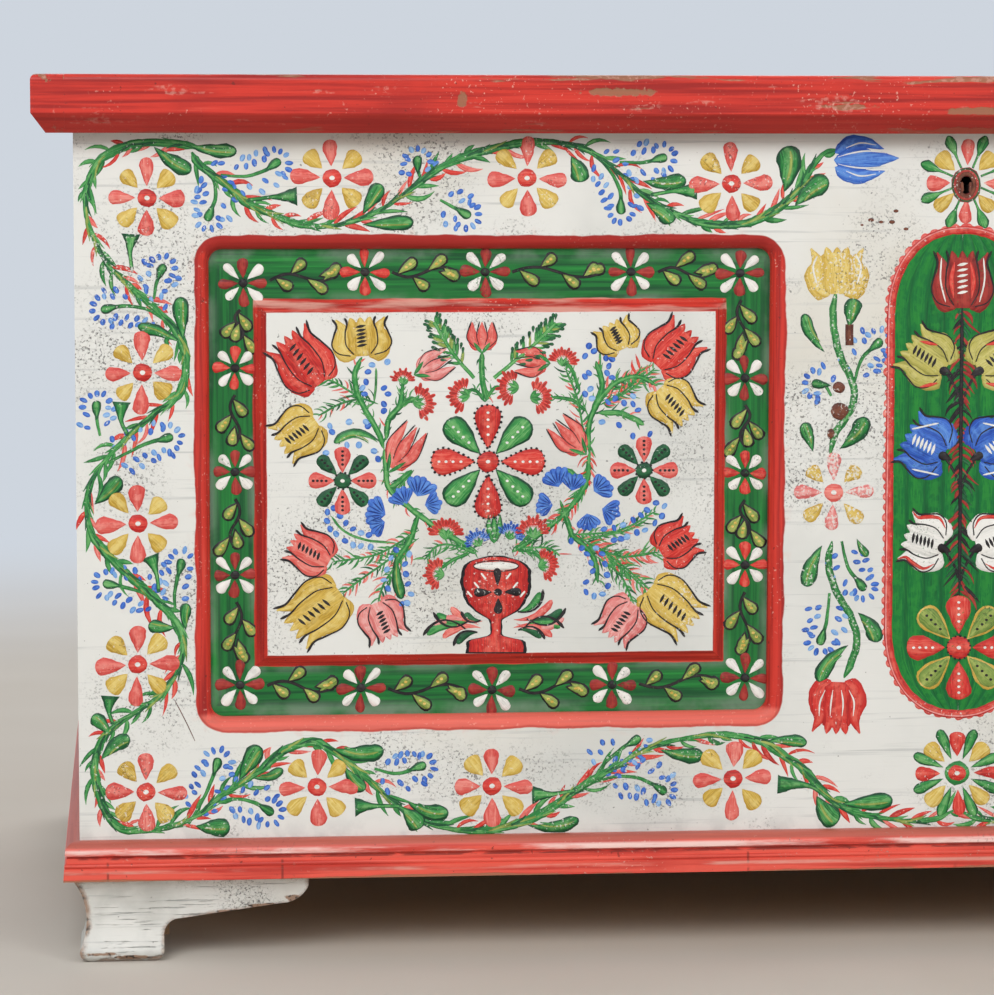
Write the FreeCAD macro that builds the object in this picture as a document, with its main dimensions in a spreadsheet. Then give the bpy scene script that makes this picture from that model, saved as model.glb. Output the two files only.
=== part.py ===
import FreeCAD, Part
import math
import os
from types import SimpleNamespace

import Sketcher

# Painted dowry chest, in millimetres: a dovetailed carcase with two sunk fielded panels, a hinged lid with a
# chamfered moulding, bracket feet, a till and a box lock. The origin is on the floor under the middle of the
# whole chest, the front faces -Y and +Z is up.

SIZES = {
    # Carcase boards
    "carcase_length": 1200,
    "carcase_depth": 560,
    "carcase_height": 494,
    "front_thickness": 26,
    "side_thickness": 24,
    "back_thickness": 24,
    "bottom_thickness": 22,
    "dovetail_lap": 8,
    "tongue_width": 8,
    "tongue_height": 9,
    "tongue_play": 0.5,
    # Sunk panels of the front
    "stile_end": 89,
    "stile_middle": 264,
    "rail_low": 86.5,
    "rail_high": 92,
    "window_corner": 9,
    "rim_radius": 8.7,
    "sunk_depth": 9,
    "rebate_width": 12,
    "panel_play": 1,
    "margin_side": 30,
    "margin_end": 34,
    "bevel_width": 8,
    "field_rise": 8,
    # Base moulding and feet
    "base_height": 26.5,
    "base_projection": 11,
    "foot_height": 58,
    "foot_length": 154,
    "foot_proud": 5,
    "foot_seat": 22,
    "brace_length": 96,
    "block_width": 38,
    "block_height": 44,
    # Lid
    "lid_thickness": 24,
    "lid_clearance": 5,
    "lid_moulding_thickness": 22,
    "lid_moulding_height": 38.5,
    "lid_chamfer_run": 9.5,
    "lid_chamfer_rise": 13,
    "lid_top_radius": 4,
    # Strap hinges
    "hinge_spacing": 760,
    "knuckle_radius": 6,
    "knuckle_width": 16,
    "ear_width": 12,
    "hinge_gap": 0.5,
    "pin_radius": 3,
    "pin_clearance": 0.05,
    "pin_head_radius": 4.5,
    "pin_head_height": 2,
    "strap_thickness": 3,
    "strap_length": 300,
    "strap_width": 36,
    "strap_tip_width": 24,
    "leaf_length": 84,
    "notch_clearance": 1,
    # Nails
    "nail_width": 3.2,
    "nail_point_width": 0.8,
    "nail_length": 14,
    "nail_head_width": 9,
    "nail_head_height": 2,
    "nail_clearance": 0.2,
    # Lock
    "keyhole_drop": 46.5,
    "keyhole_radius": 4,
    "keyslot_width": 5,
    "keyslot_length": 9.5,
    "lock_width": 140,
    "lock_height": 84,
    "lock_drop": 10,
    "lock_plate_thickness": 2,
    "lock_nail_inset": 7,
    "case_width": 116,
    "case_height": 64,
    "case_depth": 25,
    "case_wall": 1.6,
    "case_drop": 13,
    "bolt_length": 66,
    "bolt_height": 9,
    "bolt_thickness": 7,
    "bolt_drop": 27,
    "bolt_setback": 11.5,
    "bolt_tail": 44,
    "bolt_clearance": 0.2,
    "talon_width": 12,
    "talon_depth": 3,
    "keeper_width": 6,
    "keeper_wall": 3,
    "keeper_tail_place": 25,
    "keeper_nose_place": 13,
    "spring_thickness": 1,
    "spring_width": 5,
    "key_pin_radius": 2,
    "staple_place": 30,
    "staple_width": 8,
    "staple_leg": 4,
    "staple_gap": 8,
    "staple_bar": 4,
    "staple_plate_length": 46,
    "staple_plate_thickness": 2.5,
    "staple_room": 2.4,
    # Till
    "till_width": 110,
    "till_height": 110,
    "till_board": 12,
    "till_drop": 120,
    "till_lid_thickness": 10,
    "till_lid_nose": 4,
    "till_lid_play": 1,
    "till_pivot_inset": 14,
    "till_pivot_radius": 4,
    "till_pivot_length": 11,
    "till_pivot_clearance": 0.08,
    "till_wall_gap": 2,
    # One overrun for all cuts
    "overrun": 5,
}

TAILS = 6
TAIL_ROOT_SHARE = 0.45
TAIL_SLOPE_SHARE = 1 / 6
PLANKS = 3
EDGE_TOLERANCE = 0.05
QUARTER_SHARE = math.sqrt(0.5)

# Outlines as shares of their sizes. A third number starts an arc: its radius as a share of the chord to the
# next point. A fourth says which way it turns: 1 is anticlockwise.
BASE_PROFILE_SHARES = [
    (0, 0),
    (0, 1),
    (-0.2, 1, QUARTER_SHARE, 1),
    (-0.9, 0.72),
    (-0.9, 0.66),
    (-0.7, 0.61),
    (-0.8, 0.58),
    (-0.82, 0.46, 0.58, 1),
    (-0.88, 0.34),
    (-0.95, 0.32),
    (-1, 0),
]
FOOT_TOE_SHARES = [(0.17, 0.14), (0.37, 0)]
FOOT_HOLLOW_SHARE = 1.02
FOOT_TOE_SHARE = 0.75
FOOT_SAWN_SHARES = [
    (0.31, 0, QUARTER_SHARE, 1),
    (0.366, 0.15),
    (0.366, 0.32, QUARTER_SHARE, -1),
    (0.44, 0.5),
    (0.89, 0.665, 0.9, 1),
    (1, 0.88),
]
STRAP_NAIL_SHARES = (0.16, 0.42, 0.68, 0.9)
LEAF_NAIL_SHARES = ((-0.28, 0.42), (0.28, 0.42), (-0.28, 0.8), (0.28, 0.8))
STAPLE_NAIL_SHARES = (-0.36, 0.36)
NAIL_CROWN_SHARE = 0.4


class Size:
    """A length worked out from the sheet: its formula, for bindings, and its value, where a sketch starts."""

    def __init__(self, text, value):
        self.text = text
        self.value = value

    def joined(self, sign, other, value):
        return Size(f"({self.text} {sign} {other.text})", value)

    def __add__(self, other):
        other = as_size(other)
        return self.joined("+", other, self.value + other.value)

    def __sub__(self, other):
        other = as_size(other)
        return self.joined("-", other, self.value - other.value)

    def __mul__(self, other):
        other = as_size(other)
        return self.joined("*", other, self.value * other.value)

    def __truediv__(self, other):
        other = as_size(other)
        return self.joined("/", other, self.value / other.value)

    def __neg__(self):
        return Size(f"(0 - {self.text})", -self.value)

    def root(self):
        return Size(f"sqrt({self.text})", math.sqrt(self.value))


def as_size(number):
    return number if isinstance(number, Size) else Size(f"{number:.9g}", number)


doc = FreeCAD.newDocument("DowryChest")
sheet = doc.addObject("Spreadsheet::Sheet", "Sizes")
for row, (alias, number) in enumerate(SIZES.items(), 1):
    sheet.set(f"A{row}", alias)
    sheet.set(f"B{row}", str(number))
    sheet.setAlias(f"B{row}", alias)
doc.recompute()
S = SimpleNamespace(**{alias: Size(f"Sizes.{alias}", sheet.get(alias)) for alias in SIZES})
ZERO = as_size(0)
nodes = []

# Levels and faces that the pieces share
half_length = S.carcase_length / 2
lid_overhang = S.lid_moulding_thickness + S.lid_clearance
half_depth = (lid_overhang + S.carcase_depth + S.knuckle_radius * 2) / 2
front_face = lid_overhang - half_depth
front_inner = front_face + S.front_thickness
back_face = front_face + S.carcase_depth
back_inner = back_face - S.back_thickness
side_inner = half_length - S.side_thickness
floor_top = S.foot_height + S.bottom_thickness
rim = floor_top + S.carcase_height
lid_top = rim + S.lid_thickness
window_width = (S.carcase_length - S.stile_end * 2 - S.stile_middle) / 2
window_height = S.carcase_height - S.rail_low - S.rail_high
hinge_y = back_face + S.knuckle_radius
hinge_z = rim - S.knuckle_radius
till_pivot_x = S.till_pivot_inset - side_inner
till_pivot_z = rim - S.till_drop - S.till_lid_thickness / 2


def bind(thing, name, formula):
    thing.setExpression(name, as_size(formula).text)


def place(thing, x, y, z, turn=0):
    """Puts a piece at a point, turned about Z by so many degrees."""
    thing.Placement = FreeCAD.Placement(FreeCAD.Vector(), FreeCAD.Rotation(FreeCAD.Vector(0, 0, 1), turn))
    for axis, where in zip("xyz", (x, y, z)):
        bind(thing, f"Placement.Base.{axis}", where)


def node(label, thing):
    """Takes an object as the finished sub-part of that name."""
    thing.Label = label
    nodes.append(thing)
    return thing


def box(name, x, y, z):
    """A box between two faces each way, each a (low, high) pair."""
    made = doc.addObject("Part::Box", name)
    for side, (low, high) in zip(("Length", "Width", "Height"), (x, y, z)):
        bind(made, side, high - low)
    place(made, x[0], y[0], z[0])
    return made


def cylinder(name, radius, length, at, along):
    """A cylinder from a point along an axis."""
    made = doc.addObject("Part::Cylinder", name)
    bind(made, "Radius", radius)
    bind(made, "Height", length)
    turn = FreeCAD.Rotation(FreeCAD.Vector(0, 0, 1), FreeCAD.Vector(*along))
    made.Placement = FreeCAD.Placement(FreeCAD.Vector(), turn)
    for axis, where in zip("xyz", at):
        bind(made, f"Placement.Base.{axis}", where)
    return made


def frustum(name, start, end, length, at, along):
    """A tapered block from a point along an axis, each end a (half width, half height) pair."""
    made = doc.addObject("Part::Wedge", name)
    for letter, near_half, far_half in zip("XZ", start, end):
        bind(made, f"{letter}min", -near_half)
        bind(made, f"{letter}max", near_half)
        bind(made, f"{letter}2min", -far_half)
        bind(made, f"{letter}2max", far_half)
    bind(made, "Ymin", ZERO)
    bind(made, "Ymax", length)
    turn = FreeCAD.Rotation(FreeCAD.Vector(0, 1, 0), FreeCAD.Vector(*along))
    made.Placement = FreeCAD.Placement(FreeCAD.Vector(), turn)
    for axis, where in zip("xyz", at):
        bind(made, f"Placement.Base.{axis}", where)
    return made


def around(middle, half):
    return (middle - half, middle + half)


def fuse(name, parts):
    made = doc.addObject("Part::MultiFuse", name)
    made.Shapes = parts
    return made


def cut(name, base, tools):
    made = doc.addObject("Part::Cut", name)
    made.Base = base
    made.Tool = tools[0] if len(tools) == 1 else fuse(f"{name}_tools", tools)
    return made


def group(name, parts):
    """Separate solids that share one sub-part."""
    made = doc.addObject("Part::Compound", name)
    made.Links = parts
    return made


def new_body(name):
    return doc.addObject("PartDesign::Body", f"{name}_body")


def sketch_on(body, role, name, offset=ZERO):
    """A sketch on one of the body's own planes, moved along the plane's normal."""
    made = body.newObject("Sketcher::SketchObject", name)
    plane = next(f for f in body.Origin.OriginFeatures if f.Role == role)
    made.AttachmentSupport = [(plane, "")]
    made.MapMode = "FlatFace"
    bind(made, "AttachmentOffset.Base.z", offset)
    return made


def chord(start, end):
    run = end[0] - start[0]
    rise = end[1] - start[1]
    return (run * run + rise * rise).root()


def arc_between(start, end, radius, turn):
    """The shorter arc from one point to another, and the numbers of its start and end."""
    run = end - start
    reach = math.sqrt(max(radius**2 - (run.Length / 2) ** 2, 0))
    left = FreeCAD.Vector(-run.y, run.x, 0).normalize()
    centre = (start + end) * 0.5 + left * (reach * turn)
    first, last = (start, end) if turn > 0 else (end, start)
    angles = [math.atan2(p.y - centre.y, p.x - centre.x) for p in (first, last)]
    circle = Part.Circle(centre, FreeCAD.Vector(0, 0, 1), radius)
    return Part.ArcOfCircle(circle, *angles), (1, 2) if turn > 0 else (2, 1)


def pin_down(sketch, kind, *places_and_formula):
    """A dimension bound to its formula."""
    *places, formula = places_and_formula
    index = sketch.addConstraint(Sketcher.Constraint(kind, *places, formula.value))
    bind(sketch, f"Constraints[{index}]", formula)


def outline(sketch, points):
    """Draws a closed outline through points in sketch coordinates, with arcs where a point starts one."""
    points = [(as_size(p[0]), as_size(p[1]), *p[2:]) for p in points]
    corners = [FreeCAD.Vector(p[0].value, p[1].value, 0) for p in points]
    first = sketch.GeometryCount
    ends = []
    for i, point in enumerate(points):
        following = (i + 1) % len(points)
        if len(point) == 2:
            sketch.addGeometry(Part.LineSegment(corners[i], corners[following]))
            ends.append((1, 2))
            continue
        radius = chord(point, points[following]) * point[2]
        arc, numbers = arc_between(corners[i], corners[following], radius.value, point[3])
        sketch.addGeometry(arc)
        ends.append(numbers)
        pin_down(sketch, "Radius", first + i, radius)
    for i, point in enumerate(points):
        following = (i + 1) % len(points)
        joint = (first + i, ends[i][1], first + following, ends[following][0])
        sketch.addConstraint(Sketcher.Constraint("Coincident", *joint))
        pin_down(sketch, "DistanceX", -1, 1, first + i, ends[i][0], point[0])
        pin_down(sketch, "DistanceY", -1, 1, first + i, ends[i][0], point[1])


def rectangle(sketch, x, y):
    outline(sketch, [(x[0], y[0]), (x[1], y[0]), (x[1], y[1]), (x[0], y[1])])


def ring(sketch, x, y, radius):
    x, y = as_size(x), as_size(y)
    middle = FreeCAD.Vector(x.value, y.value, 0)
    index = sketch.addGeometry(Part.Circle(middle, FreeCAD.Vector(0, 0, 1), radius.value))
    pin_down(sketch, "DistanceX", -1, 1, index, 3, x)
    pin_down(sketch, "DistanceY", -1, 1, index, 3, y)
    pin_down(sketch, "Radius", index, radius)


def feature(body, kind, sketch, depth=None, back=False):
    """A Pad or Pocket of a sketch, so deep or right through, and the other way if asked."""
    made = body.newObject(f"PartDesign::{kind}", f"{sketch.Name}_{kind.lower()}")
    made.Profile = sketch
    made.Reversed = back
    if depth is None:
        made.Type = "ThroughAll"
    else:
        bind(made, "Length", depth)
    return made


def round_edges(body, radius, chosen):
    """Fillets the edges of the body whose middle the test takes."""
    doc.recompute()
    tip = body.Tip
    names = []
    for number, edge in enumerate(tip.Shape.Edges, 1):
        middle = edge.valueAt((edge.FirstParameter + edge.LastParameter) / 2)
        if chosen(edge, middle):
            names.append(f"Edge{number}")
    made = body.newObject("PartDesign::Fillet", f"{body.Name}_round")
    made.Base = (tip, names)
    bind(made, "Radius", radius)


def near(a, b):
    return abs(a - b) < EDGE_TOLERANCE


# Carcase

tail_pitch = S.carcase_height / TAILS


def tail(index, root, end):
    """A dovetail's four corners in the plane of the side board, from depth root to depth end."""
    middle = tail_pitch * (index + 0.5)
    run = (end - root) if end.value > root.value else (root - end)
    half_root = tail_pitch * (TAIL_ROOT_SHARE / 2)
    half_end = half_root + run * TAIL_SLOPE_SHARE
    lower = [(root, middle - half_root), (end, middle - half_end)]
    return lower + [(end, middle + half_end), (root, middle + half_root)]


front_tails = [tail(i, S.front_thickness, S.dovetail_lap) for i in range(TAILS)]
back_root = S.carcase_depth - S.back_thickness
back_tails = [tail(i, back_root, S.carcase_depth) for i in range(TAILS)]


def side_board(label, x):
    """A side with lapped tails into the front and through tails into the back."""
    body = new_body(label)
    sketch = sketch_on(body, "YZ_Plane", f"{label}_outline")
    front_end = [p for t in front_tails for p in t]
    back_end = [p for t in reversed(back_tails) for p in reversed(t)]
    top = [(S.front_thickness, S.carcase_height), (back_root, S.carcase_height)]
    bottom = [(back_root, ZERO), (S.front_thickness, ZERO)]
    outline(sketch, front_end + top + back_end + bottom)
    feature(body, "Pad", sketch, S.side_thickness)
    place(body, x, front_face, floor_top)
    node(label, body)


def tail_sockets(body, name, tails):
    """Cuts the sockets of those tails from both ends of a board."""
    for end, back in (("left", False), ("right", True)):
        seat = side_inner if back else -side_inner
        sketch = sketch_on(body, "YZ_Plane", f"{name}_{end}_sockets", seat)
        for corners in tails:
            outline(sketch, corners)
        feature(body, "Pocket", sketch, back=back)


def window_sides(grow):
    """The low and high edges of both windows, moved outwards by grow: [(x, z), ...] of pairs."""
    z = (S.rail_low - grow, S.rail_low + window_height + grow)
    both = []
    for sign in (-1, 1):
        middle = (S.stile_middle + window_width) * sign / 2
        both.append((around(middle, window_width / 2 + grow), z))
    return both


def front_board():
    body = new_body("front_board")
    board = sketch_on(body, "XZ_Plane", "front_outline")
    rectangle(board, (-half_length, half_length), (ZERO, S.carcase_height))
    feature(body, "Pad", board, S.front_thickness, back=True)
    windows = sketch_on(body, "XZ_Plane", "front_windows")
    for x, z in window_sides(ZERO):
        rectangle(windows, x, z)
    feature(body, "Pocket", windows)
    outer = half_length.value

    def window_corner(edge, middle):
        upright = near(edge.Length, S.front_thickness.value)
        return upright and abs(middle.x) < outer - EDGE_TOLERANCE

    round_edges(body, S.window_corner, window_corner)
    rebates = sketch_on(body, "XZ_Plane", "front_rebates", -S.sunk_depth)
    for x, z in window_sides(S.rebate_width):
        rectangle(rebates, x, z)
    feature(body, "Pocket", rebates)

    def window_rim(edge, middle):
        inside = EDGE_TOLERANCE < middle.z < S.carcase_height.value - EDGE_TOLERANCE
        return near(middle.y, 0) and inside and abs(middle.x) < outer - EDGE_TOLERANCE

    round_edges(body, S.rim_radius, window_rim)
    key_z = S.carcase_height - S.keyhole_drop
    eye = sketch_on(body, "XZ_Plane", "keyhole_eye")
    ring(eye, ZERO, key_z, S.keyhole_radius)
    feature(body, "Pocket", eye)
    slot = sketch_on(body, "XZ_Plane", "keyhole_slot")
    rectangle(slot, (-S.keyslot_width / 2, S.keyslot_width / 2), (key_z - S.keyslot_length, key_z))
    feature(body, "Pocket", slot)
    tail_sockets(body, "front", front_tails)
    till_socket(body, "front", -S.front_thickness, True)
    place(body, ZERO, front_face, floor_top)
    node("front_board", body)


def till_socket(body, name, face, back):
    """A blind hole for a pivot of the till's lid."""
    sketch = sketch_on(body, "XZ_Plane", f"{name}_pivot_hole", face)
    hole = S.till_pivot_radius + S.till_pivot_clearance
    ring(sketch, till_pivot_x, till_pivot_z - floor_top, hole)
    depth = S.till_pivot_length - S.till_lid_play + S.tongue_play
    feature(body, "Pocket", sketch, depth, back=back)


def fielded_panel(label, x, z):
    """A panel with a bevelled raised field, in the rebate behind its window."""
    play = S.rebate_width - S.panel_play
    face = front_face + S.sunk_depth
    sides = (x[0] - play, x[1] + play)
    ends = (z[0] - play + floor_top, z[1] + play + floor_top)
    plate = box(f"{label}_plate", sides, (face, front_inner), ends)
    foot = (window_width / 2 - S.margin_side, window_height / 2 - S.margin_end)
    top = [half - S.bevel_width for half in foot]
    centre = ((x[0] + x[1]) / 2, face - S.field_rise, (z[0] + z[1]) / 2 + floor_top)
    field = frustum(f"{label}_field", top, foot, S.field_rise, centre, (0, 1, 0))
    node(label, fuse(f"{label}_whole", [plate, field]))


def back_plank(label, low, high, tails):
    """A back plank between two heights, with the sockets of its tails."""
    body = new_body(label)
    board = sketch_on(body, "XZ_Plane", f"{label}_outline", -back_root)
    rectangle(board, (-half_length, half_length), (low, high))
    feature(body, "Pad", board, S.back_thickness, back=True)
    tail_sockets(body, label, tails)
    place(body, ZERO, front_face, floor_top)
    node(label, body)
    return body


def tongue_joint(lower, upper):
    """A tongue on the lower plank in a groove of the upper one."""
    middle = S.carcase_height / 2
    centre = back_root + S.back_thickness / 2
    tongue = sketch_on(lower, "YZ_Plane", "back_tongue", -half_length)
    half = S.tongue_width / 2
    rectangle(tongue, (centre - half, centre + half), (middle - S.tongue_height, middle + S.tongue_height))
    feature(lower, "Pad", tongue, S.carcase_length)
    groove = sketch_on(upper, "YZ_Plane", "back_groove", -half_length - S.overrun)
    half = half + S.tongue_play / 2
    roof = middle + S.tongue_height + S.tongue_play
    rectangle(groove, (centre - half, centre + half), (middle - S.tongue_height, roof))
    feature(upper, "Pocket", groove, back=True)


def back():
    middle = S.carcase_height / 2
    split = TAILS // 2
    lower = back_plank("back_plank_lower", ZERO, middle, back_tails[:split])
    upper = back_plank("back_plank_upper", middle, S.carcase_height, back_tails[split:])
    tongue_joint(lower, upper)
    notches = sketch_on(upper, "XZ_Plane", "strap_notches", -(back_root - S.overrun))
    half = S.strap_width / 2 + S.notch_clearance
    floor = S.carcase_height - S.strap_thickness - S.hinge_gap
    for sign in (-1, 1):
        at = S.hinge_spacing * sign / 2
        rectangle(notches, (at - half, at + half), (floor, S.carcase_height + S.overrun))
    feature(upper, "Pocket", notches)
    till_socket(upper, "back", -back_root, False)


def bottom_planks():
    width = S.carcase_depth / PLANKS
    for i, name in enumerate(("front", "middle", "rear")):
        low = front_face + width * i
        label = f"bottom_plank_{name}"
        x = (-half_length, half_length)
        node(label, box(label, x, (low, low + width), (S.foot_height, floor_top)))


def carcase():
    front_board()
    for label, (x, z) in zip(("fielded_panel_left", "fielded_panel_right"), window_sides(ZERO)):
        fielded_panel(label, x, z)
    side_board("side_board_left", -half_length)
    side_board("side_board_right", side_inner)
    back()
    bottom_planks()


# Base moulding and feet


def mitre(body, name, corner, hand, reach, top):
    """Cuts a piece's end on the line at 45 degrees through a corner of the carcase."""
    sketch = sketch_on(body, "XY_Plane", f"{name}_mitre", top + S.overrun)
    far = reach + S.overrun
    inner = S.foot_seat + S.overrun
    outline(
        sketch,
        [
            (corner - far * hand, -far),
            (corner + inner * hand, inner),
            (corner - far * hand, inner),
        ],
    )
    feature(body, "Pocket", sketch)


def base_moulding(label, run, mitred, at, turn):
    """A length of moulding along X, its back on Y = 0, with mitres at the ends that are asked for."""
    body = new_body(label)
    start = run[0] - S.base_projection * mitred[0]
    end = run[1] + S.base_projection * mitred[1]
    sketch = sketch_on(body, "YZ_Plane", f"{label}_profile", start)
    points = [(S.base_projection * p[0], S.base_height * p[1], *p[2:]) for p in BASE_PROFILE_SHARES]
    outline(sketch, points)
    feature(body, "Pad", sketch, end - start)
    for which, hand in ((0, 1), (1, -1)):
        if mitred[which]:
            mitre(body, f"{label}_{which}", run[which], hand, S.base_projection, S.base_height)
    place(body, at[0], at[1], S.foot_height, turn)
    node(label, body)


def bracket(label, hand, at, turn, mitred):
    """A foot bracket along X from a corner: a hollow face with a sawn lower edge. hand -1 mirrors it."""
    body = new_body(label)
    reach = S.foot_proud if mitred else ZERO
    profile = sketch_on(body, "YZ_Plane", f"{label}_profile", -reach * hand)
    depth = S.foot_proud + S.foot_seat
    toe, sole = [(depth * p[0] - S.foot_proud, S.foot_height * p[1]) for p in FOOT_TOE_SHARES]
    outline(
        profile,
        [
            (-S.foot_proud, S.foot_height, FOOT_HOLLOW_SHARE, -1),
            (*toe, FOOT_TOE_SHARE, 1),
            sole,
            (S.foot_seat, ZERO),
            (S.foot_seat, S.foot_height),
        ],
    )
    feature(body, "Pad", profile, S.foot_length + reach, back=hand < 0)
    waste = sketch_on(body, "XZ_Plane", f"{label}_sawn", S.foot_proud + S.overrun)
    sawn = [(S.foot_length * p[0] * hand, S.foot_height * p[1], *p[2:]) for p in FOOT_SAWN_SHARES]
    sawn = [(*p[:3], p[3] * hand) if len(p) > 2 else p for p in sawn]
    tip, heel = sawn[-1], sawn[0]
    over = (S.foot_length + S.overrun) * hand
    outline(waste, sawn + [(over, tip[1]), (over, -S.overrun), (heel[0], -S.overrun)])
    feature(body, "Pocket", waste)
    if mitred:
        mitre(body, label, ZERO, hand, S.foot_proud, S.foot_height)
    place(body, at[0], at[1], ZERO, turn)
    node(label, body)


def feet():
    blocks = []
    for side, sign in (("left", -1), ("right", 1)):
        front = (half_length * sign, front_face)
        rear = (half_length * sign, back_face)
        bracket(f"foot_front_{side}_face", -sign, front, 0, True)
        bracket(f"foot_front_{side}_return", sign, front, 90 * sign, True)
        bracket(f"foot_rear_{side}_return", -sign, rear, 90 * sign, False)
        seat = half_length - S.foot_seat
        inner = seat - S.brace_length
        x = (inner, seat) if sign > 0 else (-seat, -inner)
        label = f"foot_rear_{side}_brace"
        node(label, box(label, x, (back_face - S.foot_seat, back_face), (ZERO, S.foot_height)))
        x = (seat - S.block_width, seat) if sign > 0 else (-seat, S.block_width - seat)
        z = (S.foot_height - S.block_height, S.foot_height)
        near_front = front_face + S.foot_seat
        near_back = back_face - S.foot_seat
        blocks.append(box(f"block_front_{side}", x, (near_front, near_front + S.block_width), z))
        blocks.append(box(f"block_rear_{side}", x, (near_back - S.block_width, near_back), z))
    node("foot_blocks", group("foot_blocks_group", blocks))


def base():
    both = (True, True)
    base_moulding("base_moulding_front", (-half_length, half_length), both, (ZERO, front_face), 0)
    run = (-S.carcase_depth, ZERO)
    base_moulding("base_moulding_left", run, (False, True), (-half_length, front_face), -90)
    run = (ZERO, S.carcase_depth)
    base_moulding("base_moulding_right", run, (True, False), (half_length, front_face), 90)
    feet()


# Lid

moulding_low = lid_top - S.lid_moulding_height
cleat_inner = half_length + S.lid_clearance
lid_front = front_face - lid_overhang


def moulding_profile(hand):
    """The lid moulding's section, its back on X = 0: plain above, chamfered below."""
    run = S.lid_moulding_thickness - S.lid_chamfer_run
    points = [
        (ZERO, ZERO),
        (run, ZERO),
        (S.lid_moulding_thickness, S.lid_chamfer_rise),
        (S.lid_moulding_thickness, S.lid_moulding_height),
        (ZERO, S.lid_moulding_height),
    ]
    return [(x * hand, z) for x, z in points]


def lid_cleat(label, sign):
    """A cleat along the lid's end, with the moulding returned on its front end."""
    body = new_body(label)
    profile = sketch_on(body, "XZ_Plane", f"{label}_profile")
    outline(profile, moulding_profile(sign))
    feature(body, "Pad", profile, back_face - lid_front, back=True)
    waste = sketch_on(body, "YZ_Plane", f"{label}_return", -S.overrun * sign)
    slope = S.lid_chamfer_rise / S.lid_chamfer_run
    over = S.overrun
    outline(
        waste,
        [
            (-over, -over * slope),
            (S.lid_chamfer_run, -over * slope),
            (S.lid_chamfer_run, ZERO),
            (-over, S.lid_chamfer_rise + over * slope),
        ],
    )
    feature(body, "Pocket", waste, back=sign > 0)

    def top_edge(edge, middle):
        outer = near(middle.x, S.lid_moulding_thickness.value * sign)
        return near(middle.z, S.lid_moulding_height.value) and (outer or near(middle.y, 0))

    round_edges(body, S.lid_top_radius, top_edge)
    place(body, cleat_inner * sign, lid_front, moulding_low)
    node(label, body)


def lid_moulding_front():
    body = new_body("lid_moulding_front")
    profile = sketch_on(body, "YZ_Plane", "lid_front_profile", -cleat_inner)
    outline(profile, moulding_profile(-1))
    feature(body, "Pad", profile, cleat_inner * 2)

    def top_edge(edge, middle):
        outer = near(middle.y, -S.lid_moulding_thickness.value)
        return outer and near(middle.z, S.lid_moulding_height.value)

    round_edges(body, S.lid_top_radius, top_edge)
    place(body, ZERO, lid_front + S.lid_moulding_thickness, moulding_low)
    node("lid_moulding_front", body)


def lid():
    start = lid_front + S.lid_moulding_thickness
    width = (back_face - start) / PLANKS
    for i, name in enumerate(("front", "middle", "rear")):
        low = start + width * i
        label = f"lid_plank_{name}"
        node(label, box(label, (-cleat_inner, cleat_inner), (low, low + width), (rim, lid_top)))
    lid_moulding_front()
    lid_cleat("lid_cleat_left", -1)
    lid_cleat("lid_cleat_right", 1)


# Nails and hinges


nail_hole_half = S.nail_width / 2 + S.nail_clearance


def nail(name, at, along):
    """A forged square nail whose head sits at a point, with its tapered shank along an axis."""
    back = [-a for a in along]
    root = (S.nail_width / 2, S.nail_width / 2)
    point = (S.nail_point_width / 2, S.nail_point_width / 2)
    shank = frustum(f"{name}_shank", root, point, S.nail_length, at, along)
    rim_half = (S.nail_head_width / 2, S.nail_head_width / 2)
    crown_half = [half * NAIL_CROWN_SHARE for half in rim_half]
    head = frustum(f"{name}_head", rim_half, crown_half, S.nail_head_height, at, back)
    return fuse(name, [shank, head])


def nail_holes(sketch, points):
    for x, y in points:
        rectangle(sketch, around(x, nail_hole_half), around(y, nail_hole_half))


def knuckle(body, name, low, high):
    """A knuckle of the hinge round the X axis, between two places."""
    sketch = sketch_on(body, "YZ_Plane", name, low)
    ring(sketch, ZERO, ZERO, S.knuckle_radius)
    feature(body, "Pad", sketch, high - low)


def pin_bore(body, name):
    sketch = sketch_on(body, "YZ_Plane", name, -S.strap_width)
    ring(sketch, ZERO, ZERO, S.pin_radius + S.pin_clearance)
    feature(body, "Pocket", sketch, back=True)


half_knuckle = S.knuckle_width / 2
ear_start = half_knuckle + S.hinge_gap
half_leaf = ear_start + S.ear_width
leaf_low = -S.knuckle_radius - S.hinge_gap


def hinge_strap(side, sign):
    """The long leaf under the lid, with the middle knuckle."""
    label = f"hinge_strap_{side}"
    body = new_body(label)
    plate = sketch_on(body, "XY_Plane", f"{label}_outline", S.knuckle_radius - S.strap_thickness)
    half = S.strap_width / 2
    tip = S.strap_tip_width / 2
    outline(
        plate,
        [
            (half_knuckle, ZERO),
            (-half_knuckle, ZERO),
            (-half_knuckle, leaf_low),
            (-half, leaf_low),
            (-tip, tip - S.strap_length, QUARTER_SHARE, 1),
            (ZERO, -S.strap_length, QUARTER_SHARE, 1),
            (tip, tip - S.strap_length),
            (half, leaf_low),
            (half_knuckle, leaf_low),
        ],
    )
    feature(body, "Pad", plate, S.strap_thickness)
    knuckle(body, f"{label}_knuckle", -half_knuckle, half_knuckle)
    pin_bore(body, f"{label}_bore")
    holes = sketch_on(body, "XY_Plane", f"{label}_holes", S.knuckle_radius + S.overrun)
    places = [(ZERO, -S.strap_length * share) for share in STRAP_NAIL_SHARES]
    nail_holes(holes, places)
    feature(body, "Pocket", holes)
    x = S.hinge_spacing * sign / 2
    place(body, x, hinge_y, hinge_z)
    node(label, body)
    under = rim - S.strap_thickness
    return [
        nail(f"{label}_nail_{i}", (x, hinge_y + y, under), (0, 0, 1)) for i, (_, y) in enumerate(places)
    ]


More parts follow.
